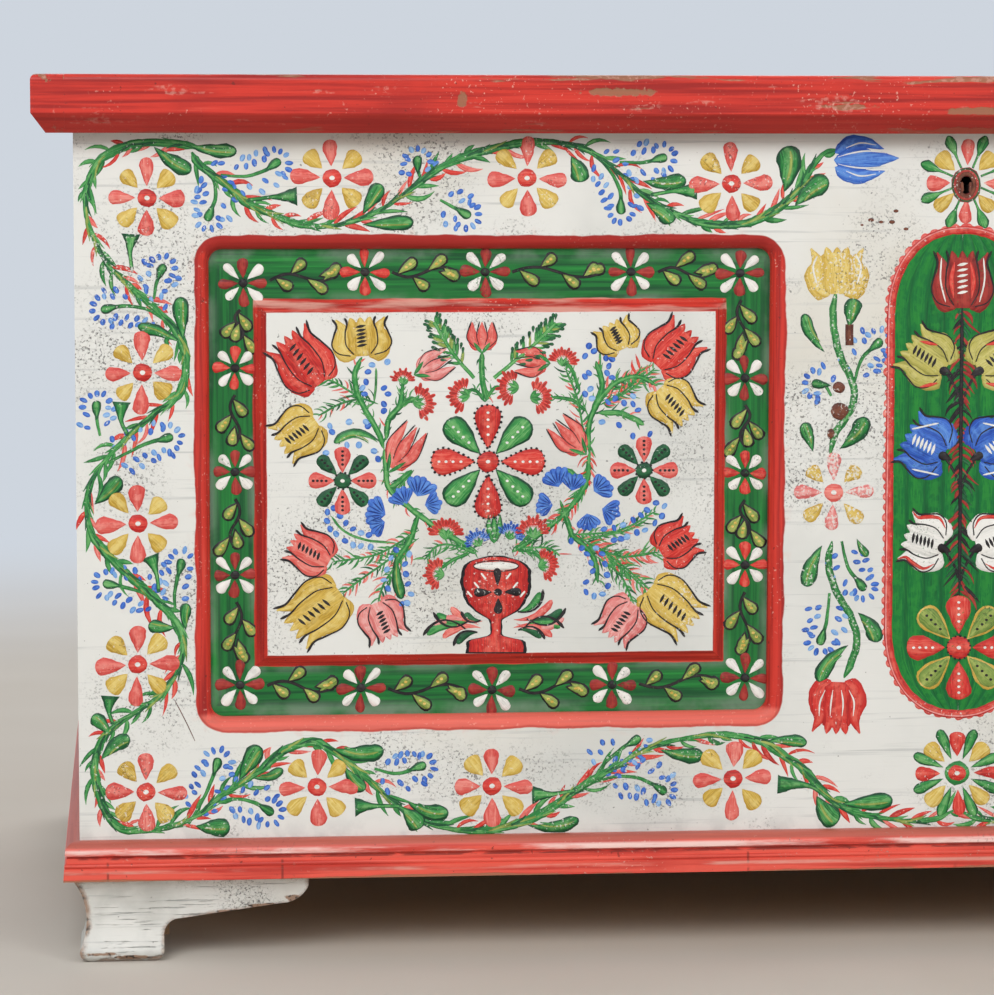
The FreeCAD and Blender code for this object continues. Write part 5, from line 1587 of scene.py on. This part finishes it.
def draw_vase(brush):
    """The footed cup in the middle of the field."""
    x, top = VASE
    outline = np.array(VASE_PROFILE, float)
    for colour, grow, layer in (("black", VASE_EDGE, 2), ("red", 0.0, 3)):
        rows = np.linspace(0, outline[-1, 0], 48)
        halves = np.interp(rows, outline[:, 0], outline[:, 1]) + grow
        line = np.stack([np.full(len(rows), x), top + rows], axis=1)
        line[0, 1] -= grow
        line[-1, 1] += grow
        brush.stroke(colour, line, halves, layer)
    mouth = (x, top + VASE_MOUTH)
    brush.dot("white", mouth, VASE_MOUTH_HALF, 4, 0.22)
    brush.ring("black", mouth, *VASE_LIP, 5, 0.24)
    flower = (x + VASE_FLOWER[0], top + VASE_FLOWER[1])
    brush.flower(flower, (VASE_PETAL,) * 4, 5)
    brush.dot("black", flower, VASE_EYE, 6)
    for side in (-1.0, 1.0):
        for ends in VASE_MARKS:
            brush.drop("white", *around(x, top, side, 1.0, ends), VASE_MARK_HALF, 5, line_shape)
    beyond, width = FAN_LINE
    for side, (root, tips) in zip((-1.0, 1.0), VASE_FANS):
        root = np.array(root, float)
        for index, tip in enumerate(tips):
            tip = np.array(tip, float)
            base = root + (tip - root) * (0.22 if index % 2 else 0.4)
            bend = 0.16 * side * (1.0 if tip[1] < root[1] else -1.0)
            brush.drop(("green", "coral", "forest", "pink")[index % 4], base, tip, FAN_HALF, 3, bend=bend)
            if index % 2 == 0:
                end = tip + unit(tip - root) * beyond
                brush.drop("black", base, end, width, 4, swelling_shape, bend * 1.8, count=12)


def draw_field(brush):
    """The bouquet on the white field of one panel."""
    green_red = ("green", "leaf", "green", "coral", "forest")
    for points in FIELD_FEATHERS:
        brush.feather(points, green_red)
    for points in FIELD_STEMS:
        brush.curve("green", points, FIELD_STEM_HALF, 2)
        brush.curve("leaf", points, FIELD_LIGHT_HALF, 3)
        brush.feather(points, green_red, *STEM_FEATHER)
    for points in FIELD_FLOWER_STEMS:
        brush.curve("green", points, FLOWER_STEM_HALF, 2)
        brush.feather(points, ("leaf", "green"), *FLOWER_FEATHER)
    for points in FIELD_RED_FEATHERS:
        brush.feather(points, ("coral", "red", "leaf", "coral", "green"), *RED_FEATHER)
    for points in FEATHER_LEAVES:
        brush.plume(points, FIELD_PLUME)
    for leaf in FIELD_LEAVES:
        brush.leaf(*leaf)
    for points in FIELD_TENDRILS:
        brush.curve("leaf", points, TENDRIL_HALF, 2)
    reach, half = FIELD_DROP
    for x, y in FIELD_BLUE_DOTS:
        colour = brush.pick(("blue", "blue", "sky"))
        way = turned(np.array((1.0, 0.0)), brush.rng.uniform(0, 2 * math.pi))
        spot = np.array((x, y))
        ends = (spot - way * reach, spot + way * reach)
        brush.drop(colour, *ends, half * brush.vary(0.15), 3, oval_shape, count=8)
    for x, y, angle, radius in FIELD_CORNFLOWERS:
        brush.cornflower((x, y), angle, radius)
    for x, y, angle, radius in FIELD_CARNATIONS:
        brush.carnation((x, y), angle, radius)
    for x, y, angle, radius in FIELD_BLUE_FANS:
        brush.carnation((x, y), angle, radius, "blue", "navy")
    brush.bud(*FIELD_GREEN_BUD, "leaf", "forest")
    for x0, y0, x1, y1, width, colour, wear in FIELD_TULIPS:
        brush.tulip((x0, y0), (x1, y1), width, colour, wear=wear)
    for x0, y0, x1, y1, width, colour in FIELD_BUDS:
        brush.bud((x0, y0), (x1, y1), width, colour)
    big_rosette(brush, FIELD_ROSETTE, FIELD_ROSETTE_SIZES, ROSETTE_BRIGHT)
    for spot in FIELD_SMALL_ROSETTES:
        big_rosette(brush, spot, SMALL_ROSETTE_SIZES, ROSETTE_DARK)
    draw_vase(brush)


# Ornament of the green band
BAND_FLOWERS = (
    (243, 283, 25), (365, 272, 25), (485, 272, 25), (631, 272, 25), (740, 273, 25), (240, 685, 25),
    (361, 688, 25), (492, 690, 25), (612, 685, 25), (745, 678, 25), (235, 368, 23), (235, 472, 23),
    (235, 575, 23), (745, 378, 23), (745, 473, 23), (745, 565, 23),
)
BAND_RUNS = (
    (243, 283, 365, 272), (365, 272, 485, 272), (485, 272, 631, 272), (631, 272, 740, 273),
    (240, 685, 361, 688), (361, 688, 492, 690), (492, 690, 612, 685), (612, 685, 745, 678),
    (243, 283, 235, 368), (235, 368, 235, 472), (235, 472, 235, 575), (235, 575, 240, 685),
    (740, 273, 745, 378), (745, 378, 745, 473), (745, 473, 745, 565), (745, 565, 745, 678),
)
BAND_GAP = 27.0
BAND_LEAF = (21.0, 5.4)
BAND_LEAF_EDGE = 1.8
BAND_LEAF_GROWN = (1.0, 2.0)
BAND_LONG = 105.0
BAND_BOW = 5.0
BAND_STEM = 1.7
BAND_RED_PETAL = (5.0, 5.6)
BAND_WHITE_PETAL = (6.0, 5.0)
BAND_EYE = 4.6


def outlined_leaf(brush, base, way, length, half):
    """A small leaf with a black outline and two pale dots."""
    tip = base + way * length
    behind, beyond = BAND_LEAF_GROWN
    brush.drop("black", base - way * behind, tip + way * beyond, half + BAND_LEAF_EDGE, 2)
    brush.drop("olive", base + way * beyond, tip, half, 3)
    for share in (0.5, 0.72):
        brush.dot("ochre", base + way * length * share, half * 0.3, 4, wear=0.2)


def draw_band(brush):
    """Flowers and leafy stems on the green band of one panel."""
    length, half = BAND_LEAF
    for x0, y0, x1, y1 in BAND_RUNS:
        start = np.array((x0, y0), float)
        along = np.array((x1, y1), float) - start
        way = unit(along)
        aside = crosswise(way)
        reach = np.linalg.norm(along)
        flip = 1.0 if brush.rng.uniform() > 0.5 else -1.0
        t = np.linspace(BAND_GAP, reach - BAND_GAP, 14)
        bow = np.sin((t - BAND_GAP) / (reach - 2 * BAND_GAP) * 2 * math.pi) * BAND_BOW * flip
        line = start + np.outer(t, way) + np.outer(bow, aside)
        brush.stroke("black", line, BAND_STEM, 2)
        places = np.linspace(0.12, 0.8, 4 if reach > BAND_LONG else 3)
        for index, share in enumerate(places):
            spot = line[int(share * (len(line) - 1))]
            side = flip * (1.0 if index % 2 else -1.0)
            outlined_leaf(brush, spot, unit(way * 0.8 + aside * side * 0.62), length * brush.vary(0.12), half)
        last = length * 0.9
        outlined_leaf(brush, line[-1] - way * last, unit(way + aside * flip * 0.2), last, half)
    for x, y, outer in BAND_FLOWERS:
        red = (brush.pick(("maroon", "red")), BAND_RED_PETAL[0], outer * 0.96, BAND_RED_PETAL[1])
        white = ("white", BAND_WHITE_PETAL[0], outer, BAND_WHITE_PETAL[1])
        brush.flower((x, y), (red, white) * 4, 4)
        brush.dot("black", (x, y), BAND_EYE, 5)


# Ornament of the middle: keyhole rosette, cartouche, lower rosette
CARTOUCHE_MIDDLE = (963.0, 958.0)
CARTOUCHE_TOP = 230.0
CARTOUCHE_BOTTOM = 714.0
CARTOUCHE_HALF = 71.0
CARTOUCHE_ROUND = 88.0
CARTOUCHE_TULIPS = (
    (364.0, 60.0, 20.0, "straw", "black", "black"),
    (449.0, 66.0, 14.0, "blue", "black", "white"),
    (541.0, 60.0, 6.0, "white", "black", "black"),
)
WHITE_TULIP_EDGE = ((0.08, 0.62), (0.3, 0.88), (0.6, 0.8), (0.82, 0.7), (1.0, 0.84))
CARTOUCHE_EDGE = 4.4
CARTOUCHE_LINE = 0.9
CARTOUCHE_SCALLOPS = (10.4, 4.9)
SCALLOP_SHARES = (0.022, 0.006)
LINE_SHARES = (0.03, 0.008)
CARTOUCHE_STEM = (304.0, 370.0, 440.0, 510.0, 596.0)
CARTOUCHE_FEATHER = (5.0, 17.0, 2.0)
CARTOUCHE_ROSETTE = 647.5
CARTOUCHE_ROSETTE_SIZES = (14, 52, 13, 12)

# Parts of a cartouche tulip: how far out from the middle line, and how far down
TULIP_BASE = (17, 6)
TULIP_REACH = 55
TULIP_CUP = ((9, 11), (22, 5))
TULIP_CUP_HALF = 5.0
TULIP_STALK = ((0, 44), (5, 26), TULIP_BASE)
TULIP_STALK_HALF = 1.5
STRAW_EDGE = ((24, 19), (33, 21), (42, 23))
STRAW_EDGE_HALF = 2.0
BLUE_EDGE = ((22, 26), (31, 24), (40, 22), (49, 20))
WHITE_EDGE_HALF = 2.1

# The tulip at the top of the cartouche
CROWN_MIDDLE = 279.0
CROWN_TULIP = (308.0, 252.0)
CROWN_WIDTH = 62.0
CROWN_RED = ((9, 298), (11, 280), (8, 262))
CROWN_RED_HALF = 3.0
CROWN_WHITE = ((17, 302), (22, 280), (21, 258))

# The rosettes round the keyhole and under the cartouche
LOWER_ROSETTE = (957.0, 773.0)
MIDDLE_ROSETTES = ((KEYHOLE, 49, knob_shape, "coral"), (LOWER_ROSETTE, 46, teardrop, "red"))
DARK_LEAF = (15, 1, 6.0)
LIGHT_LEAF = (16, 0, 5.0)
MIDDLE_PETAL = (17, 43, 7.8)
OCHRE_PETAL = (17, 41, 8.8)
HOLE_MIDDLE = (-0.8, 3.0)
HOLE_RINGS = (
    ("maroon", 10.6, 4.6, 5, 1.3, 0.15),
    ("brown", 8.4, 2.3, 6, 1.36, 0.1),
    ("forest", 13.6, 0.9, 6, 1.2, 0.3),
)
HOLE_SIDE = ((4.4, -3), (4.0, 7))
HOLE_SIDE_HALF = 1.7
LOWER_DISCS = (("leaf", 12.5, 5), ("red", 9.0, 6), ("white", 2.6, 7))


def cartouche_half(y):
    """Half the width of the cartouche at a height in the picture."""
    near = np.minimum(y - CARTOUCHE_TOP, CARTOUCHE_BOTTOM - y)
    inside = np.clip(near / CARTOUCHE_ROUND, 0, 1)
    return CARTOUCHE_HALF * np.clip(1 - (1 - inside) ** 2.2, 0.0, 1) ** (1 / 2.2)


def cartouche_axis(y):
    """The cartouche's middle line at a height in the picture."""
    share = (y - CARTOUCHE_TOP) / (CARTOUCHE_BOTTOM - CARTOUCHE_TOP)
    return CARTOUCHE_MIDDLE[0] + (CARTOUCHE_MIDDLE[1] - CARTOUCHE_MIDDLE[0]) * share


def draw_cartouche(ground, brush):
    """The tall green cartouche and the flowers on it."""
    y = CARTOUCHE_TOP + (CARTOUCHE_BOTTOM - CARTOUCHE_TOP) * eased(90)
    axis = cartouche_axis(y)
    half = cartouche_half(y)
    for share in np.linspace(-0.875, 0.875, 8):
        ground.stroke("emerald", np.stack([axis + half * share, y], axis=1), half * 0.137, 1, -0.8)
    outline = np.vstack([np.stack([axis + half, y], axis=1), np.stack([axis - half, y], axis=1)[::-1]])
    outline = np.vstack([outline, outline[:2]])
    ground.stroke("red", outline, CARTOUCHE_EDGE, 3)
    middle = np.array((CARTOUCHE_MIDDLE[0], (CARTOUCHE_TOP + CARTOUCHE_BOTTOM) / 2))
    scallops = outline + (outline - middle) * np.array(SCALLOP_SHARES)
    ground.dotted("coral", scallops, *CARTOUCHE_SCALLOPS, 2)
    ground.stroke("pink", outline + (outline - middle) * np.array(LINE_SHARES), CARTOUCHE_LINE, 4)
    stem = [(cartouche_axis(v), v) for v in CARTOUCHE_STEM]
    brush.feather(stem, ("maroon", "forest", "black", "maroon"), *CARTOUCHE_FEATHER, "black")
    for side in (-1.0, 1.0):
        for v, width, rise, colour, line, dashes in CARTOUCHE_TULIPS:
            mid = cartouche_axis(v)
            base, tip = around(mid, v, side, 1.0, (TULIP_BASE, (TULIP_REACH, -rise)))
            brush.tulip(base, tip, width, colour, line, dashes)
            brush.drop("black", *around(mid, v, side, 1.0, TULIP_CUP), TULIP_CUP_HALF, 6)
            brush.curve("black", around(mid, v, side, 1.0, TULIP_STALK), TULIP_STALK_HALF, 2)
            at = brush.local(base, tip, width)
            for lean in (-1.0, 1.0):
                if colour == "straw":
                    spots = around(mid, v, side, lean, STRAW_EDGE)
                    brush.curve("red", spots, STRAW_EDGE_HALF, 6, bowed_shape)
                elif colour == "white":
                    spots = [at(u, w * lean) for u, w in WHITE_TULIP_EDGE]
                    brush.curve("red", spots, WHITE_EDGE_HALF, 6, bowed_shape, FINE_GAP)
                else:
                    brush.curve("white", around(mid, v, side, lean, BLUE_EDGE), FINE, 6)
    top = cartouche_axis(CROWN_MIDDLE)
    base, tip = [(top, v) for v in CROWN_TULIP]
    brush.tulip(base, tip, CROWN_WIDTH, "maroon", "black", "white")
    for side in (-1.0, 1.0):
        brush.curve("red", around(top, 0.0, side, 1.0, CROWN_RED), CROWN_RED_HALF, 5, bowed_shape)
        brush.curve("white", around(top, 0.0, side, 1.0, CROWN_WHITE), CARTOUCHE_LINE, 6)
    spot = (cartouche_axis(CARTOUCHE_ROSETTE), CARTOUCHE_ROSETTE)
    big_rosette(brush, spot, CARTOUCHE_ROSETTE_SIZES, ROSETTE_OLIVE)


def draw_middle(brush):
    """The two rosettes above and below the cartouche."""
    for spot, reach, shape, colour in MIDDLE_ROSETTES:
        spot = np.array(spot)
        for leaf, (inner, grow, half), layer in (("forest", DARK_LEAF, 2), ("leaf", LIGHT_LEAF, 3)):
            petals = ((leaf, inner, reach + grow, half),) * 8
            brush.flower(spot, petals, layer, math.pi / 8, loose=0.0, shape=shape)
        brush.flower(spot, ((colour, *MIDDLE_PETAL), ("ochre", *OCHRE_PETAL)) * 4, 4)
    hole = (KEYHOLE[0] + HOLE_MIDDLE[0], KEYHOLE[1] + HOLE_MIDDLE[1])
    for colour, *ring in HOLE_RINGS:
        brush.ring(colour, hole, *ring)
    for side in (-1.0, 1.0):
        brush.drop("brown", *around(*hole, side, 1.0, HOLE_SIDE), HOLE_SIDE_HALF, 6, line_shape)
    for colour, radius, layer in LOWER_DISCS:
        brush.dot(colour, LOWER_ROSETTE, radius, layer)


# Ornament of the sides and the lid
CORNERS = ((-1.0, -1.0), (1.0, -1.0), (1.0, 1.0), (-1.0, 1.0))
SIDE_FRAME = (318.0, 268.0, 34.0)
LID_FRAME = (790.0, 330.0, 60.0)
LID_ROSETTES = (-430.0, 430.0)
BOUQUET_STEM = ((40, 36), (72, 58), (94, 88))
BOUQUET_SPRIG = ((84, 40), (128, 48), (168, 40))
BOUQUET_STEM_HALF = 3.4
BOUQUET_FEATHER = (8.0, 14.0, 1.2)
BOUQUET_TULIP = ((94, 88), (158, 166))
BOUQUET_TULIP_WIDTH = 76
BOUQUET_FLOWER = 222
BOUQUET_BUD = ((0, 104), (0, 162))
BOUQUET_BUD_WIDTH = 46
BOUQUET_SIZES = (18, 84, 20, 15)
LID_ROSETTE_SIZES = (14, 66, 16, 12)
LID_TULIP = ((0, 92), (0, 176))
LID_TULIP_WIDTH = 84
FRAME_HALF = 4.2
FRAME_LIGHT_HALF = 1.4
BOUQUET_LEAVES = ((((58, 92), (46, 150)), 18, 0.1), (((118, 84), (176, 84)), 16, -0.1))


def draw_frame(brush, half_x, half_y, radius):
    """A red line round a face, with rounded corners."""
    line = []
    for index, (side_x, side_y) in enumerate(CORNERS):
        for angle in np.linspace(0, math.pi / 2, 7):
            way = clock(angle + (index - 1) * math.pi / 2)
            line.append(np.array((side_x * (half_x - radius), side_y * (half_y - radius))) + way * radius)
    line = np.array(line + line[:2])
    points = np.linspace(0, 1, 260)
    run = arc_length(line) / arc_length(line)[-1]
    line = np.stack([np.interp(points, run, line[:, axis]) for axis in range(2)], axis=1)
    brush.stroke("red", line, FRAME_HALF, 1)
    brush.stroke("coral", line, FRAME_LIGHT_HALF, 2)


def draw_bouquet(brush, middle):
    """A large rosette with four tulips, flowers, leaves and sprigs round it."""
    x, y = middle
    for sides in CORNERS:
        stem = around(x, y, *sides, BOUQUET_STEM)
        brush.curve("green", stem, BOUQUET_STEM_HALF, 2)
        brush.feather(stem, ("green", "leaf", "red", "forest"), *BOUQUET_FEATHER)
        brush.sprig(around(x, y, *sides, BOUQUET_SPRIG))
        for ends, width, bend in BOUQUET_LEAVES:
            brush.leaf(*around(x, y, *sides, ends), width, bend * sides[0] * sides[1])
    for sides in CORNERS:
        colour = "red" if sides[0] * sides[1] > 0 else "ochre"
        brush.tulip(*around(x, y, *sides, BOUQUET_TULIP), BOUQUET_TULIP_WIDTH, colour)
    for side in (-1.0, 1.0):
        brush.daisy((x + side * BOUQUET_FLOWER, y), FLOWER_PETALS)
        brush.bud(*around(x, y, 1.0, side, BOUQUET_BUD), BOUQUET_BUD_WIDTH, "coral")
    big_rosette(brush, middle, BOUQUET_SIZES, ROSETTE_BRIGHT)


def draw_sides():
    """The bouquets of both sides."""
    height = (base_high.z + side_high.z) / 2
    depth = (side_low.y + side_high.y) / 2
    for sign, seed in ((-1.0, 61), (1.0, 67)):
        middle = (sign * board_high.x, depth, height)
        ways = ((0.0, sign, 0.0), (0.0, 0.0, -1.0), (sign, 0.0, 0.0))
        sheet = PlainSheet(middle, *ways, "white", "carcase", WOOD_SLOT)
        brush = Brush(sheet, seed, wear=0.25)
        draw_frame(brush, *SIDE_FRAME)
        draw_bouquet(brush, (0.0, 0.0))


def draw_lid():
    """Two bouquets on the lid with a flower between them."""
    middle = (0.0, (lid_front + lid_rear) / 2, lid_high.z)
    ways = ((1.0, 0.0, 0.0), (0.0, -1.0, 0.0), (0.0, 0.0, 1.0))
    sheet = PlainSheet(middle, *ways, "white", "lid", WOOD_SLOT)
    brush = Brush(sheet, 71, wear=0.7)
    draw_frame(brush, *LID_FRAME)
    for x in LID_ROSETTES:
        draw_bouquet(brush, (x, 0.0))
    big_rosette(brush, (0.0, 0.0), LID_ROSETTE_SIZES, ROSETTE_BRIGHT)
    for side in (-1.0, 1.0):
        brush.tulip(*around(0.0, 0.0, 1.0, side, LID_TULIP), LID_TULIP_WIDTH, "ochre")


def make_coats():
    """Turns all the strokes into pieces, one for each colour and ground."""
    grounds = {"white": WHITE, "green": GREEN}
    for (colour, under, body, slot), coat in coats.items():
        name = f"ornament_{colour}_on_{under}_{body}"
        mesh = bpy.data.meshes.new(name)
        mesh.from_pydata(np.vstack(coat["spots"]).tolist(), [], coat["faces"])
        for attribute in ("brush", "part"):
            made = mesh.attributes.new(attribute, "FLOAT_VECTOR", "POINT")
            made.data.foreach_set("vector", np.vstack(coat[attribute]).astype(np.float32).ravel())
        shape = bmesh.new()
        shape.from_mesh(mesh)
        bmesh.ops.recalc_face_normals(shape, faces=shape.faces)
        shape.to_mesh(mesh)
        shape.free()
        mesh.shade_smooth()
        mesh.set_sharp_from_angle(angle=SHARP_ANGLE)
        mesh.materials.append(brush_material(name, BRUSHES[colour], grounds[under]))
        piece = bpy.data.objects.new(name, mesh)
        bpy.context.collection.objects.link(piece)
        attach(piece, body)


def draw_front():
    """All the ornament of the front."""
    for mirrored, seed in ((False, 11), (True, 23)):
        draw_border(Brush(FrontSheet(FRONT_FACE, "white", mirrored), seed, BORDER_AREA, hole=RIM_BOX))
        draw_band(Brush(FrontSheet(FRONT_FACE + MARGIN_SUNK, "green", mirrored), seed + 1))
        draw_field(Brush(FrontSheet(FIELD_FACE, "white", mirrored), seed + 2, FIELD_AREA))
    ground = Brush(FrontSheet(FRONT_FACE, "white", False), 41)
    draw_cartouche(ground, Brush(FrontSheet(FRONT_FACE - COAT_STEP * 3, "green", False), 43))
    draw_middle(ground)


# Material of each kind of node, by the start of its name: the first that fits
NODE_KINDS = (
    ("front_board", "front"), ("fielded_panel", "panel"), ("side_board", "side"),
    ("foot_blocks", "pine_dark"), ("foot_front_left_face", "foot_face"),
    ("foot_front_right_face", "foot_face"), ("foot_", "foot"),
    ("lid_moulding", "lid_edge_x"), ("lid_cleat", "lid_edge_y"), ("base_moulding_front", "base_x"),
    ("base_moulding", "base_y"), ("till_", "pine_y"), ("hinge_", "iron"), ("lock_", "iron"), ("key_", "iron"),
    ("bolt_", "iron"),
)

# Softened edges, by the start of the node's name
SOFT_EDGES = {
    "foot_front": 1.6 * MM,
    "foot_rear": 1.6 * MM,
    "lid_moulding": 2.2 * MM,
    "lid_cleat": 2.6 * MM,
    "base_moulding": 1.1 * MM,
}
SOFT_SEGMENTS = 3
SOFT_ANGLE = math.radians(35)


def first_fit(name, pairs):
    """The value of the first pair whose start the name has."""
    return next((value for start, value in pairs if name.startswith(start)), None)


def dress_nodes():
    """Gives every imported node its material, and soft edges to the worn ones."""
    materials = {
        "front": front_material(),
        "panel": panel_material(),
        "side": side_material(),
        "foot": foot_material("foot_paint"),
        "foot_face": foot_material("foot_face_paint", "foot_front_left_face"),
        "lid_edge_x": lid_edge_material("lid_edge_paint", 0),
        "lid_edge_y": lid_edge_material("cleat_paint", 1),
        "base_x": base_material("base_paint", 0),
        "base_y": base_material("base_side_paint", 1),
        "pine_y": pine_material("pine_cross", 1),
        "pine_dark": pine_material("pine_blocks", 2, PINE_OLD, BLOCK_DARK),
        "iron": iron_material(),
    }
    for plank, name in enumerate(sorted(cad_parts)):
        if name.startswith("lid_plank"):
            materials[name] = lid_material(name + "_paint", plank, name)
        elif name.startswith("back_plank"):
            materials[name] = pine_material(name + "_pine", 0, PINE_DARK, PINE_OLD, plank, name, 2)
        elif name.startswith("bottom_plank"):
            materials[name] = pine_material(name + "_pine", 0, plank=plank, node=name)
    for name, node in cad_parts.items():
        kind = name if name in materials else first_fit(name, NODE_KINDS)
        node.data.materials.clear()
        node.data.materials.append(materials[kind])
        width = first_fit(name, SOFT_EDGES.items())
        if width:
            weld = node.modifiers.new("weld", "WELD")
            weld.merge_threshold = WELD_REACH
            bevel = node.modifiers.new("soft_edges", "BEVEL")
            bevel.width = width
            bevel.segments = SOFT_SEGMENTS
            bevel.limit_method = "ANGLE"
            bevel.angle_limit = SOFT_ANGLE


# Studio
FLOOR_HALF = 7.0
FLOOR_CLEAR = 1.1
FLOOR_GONE = 2.3
WORLD_LIGHT = 0.40
HORIZON_SHARE = 0.3
RISE_SHARE = 0.7
LAMP_AIM = (0.0, 0.0, 0.3)

# Name, place, size and power of each lamp
LAMPS = (
    ("key", (-1.8, -3.5, 2.7), (2.4, 1.8), 100.0),
    ("fill", (2.4, -3.6, 2.0), (2.2, 1.6), 58.0),
    ("back", (0.4, 2.8, 2.6), (2.4, 1.6), 46.0),
)


def backdrop_mask(p):
    """Light path mask: rays that see the backdrop itself."""
    path = p.add("LightPath").outputs
    return p.either(p.either(path["Is Camera Ray"], path["Is Glossy Ray"]), path["Is Transmission Ray"])


def make_floor():
    """A pale floor that runs out into the backdrop."""
    mesh = bpy.data.meshes.new("floor")
    corners = [(x * FLOOR_HALF, y * FLOOR_HALF, 0.0) for x, y in ((-1, -1), (1, -1), (1, 1), (-1, 1))]
    mesh.from_pydata(corners, [], [(0, 1, 2, 3)])
    floor = bpy.data.objects.new("floor", mesh)
    bpy.context.collection.objects.link(floor)
    p = Paint("floor_paint")
    shade = p.mix(p.blotches(2.2, 3.0, 0.3, 0.7), FLOOR, FLOOR_DARK)
    material = p.done(shade, 0.8, p.noise(60.0, 2.0), FLOOR_RELIEF, 0.2)
    distance = p.add("VectorMath", {0: p.place}, operation="LENGTH").outputs["Value"]
    far = p.both(p.fade(distance, FLOOR_CLEAR, FLOOR_GONE), backdrop_mask(p))
    glow = p.add("Emission", {"Color": BACKDROP})
    blend = p.add("MixShader", {0: far, 1: p.shader.outputs[0], 2: glow.outputs[0]})
    p.feed(p.tree.nodes["Material Output"].inputs["Surface"], blend.outputs[0])
    mesh.materials.append(material)


def make_world():
    """Light all round, stronger from above than from the horizon, and a pale backdrop where it is seen."""
    world = bpy.data.worlds.new("studio")
    world.use_nodes = True
    p = Nodes(world.node_tree)
    light = p.tree.nodes["Background"]
    light.inputs["Color"].default_value = (1.0, 1.0, 1.0, 1.0)
    way = p.add("TexCoord").outputs["Generated"]
    levels = {
        "Value": p.add("SeparateXYZ", {0: way}).outputs[2],
        "From Max": RISE_SHARE,
        "To Min": WORLD_LIGHT * HORIZON_SHARE,
        "To Max": WORLD_LIGHT,
    }
    p.feed(light.inputs["Strength"], p.add("MapRange", levels).outputs[0])
    seen = p.add("Background", {"Color": BACKDROP})
    blend = p.add("MixShader", {0: backdrop_mask(p), 1: light.outputs[0], 2: seen.outputs[0]})
    p.feed(p.tree.nodes["World Output"].inputs["Surface"], blend.outputs[0])
    bpy.context.scene.world = world


def make_lamp(name, place, size, power):
    """A large soft lamp."""
    lamp = bpy.data.lights.new(name, "AREA")
    lamp.shape = "RECTANGLE"
    lamp.size, lamp.size_y = size
    lamp.energy = power
    thing = bpy.data.objects.new(name, lamp)
    way = Vector(LAMP_AIM) - Vector(place)
    thing.matrix_world = Matrix.Translation(place) @ way.to_track_quat("-Z", "Y").to_matrix().to_4x4()
    bpy.context.collection.objects.link(thing)


make_camera()
make_floor()
make_world()
for lamp_row in LAMPS:
    make_lamp(*lamp_row)
bpy.context.scene.view_settings.view_transform = "Standard"
dress_nodes()
draw_front()
draw_sides()
draw_lid()
make_coats()
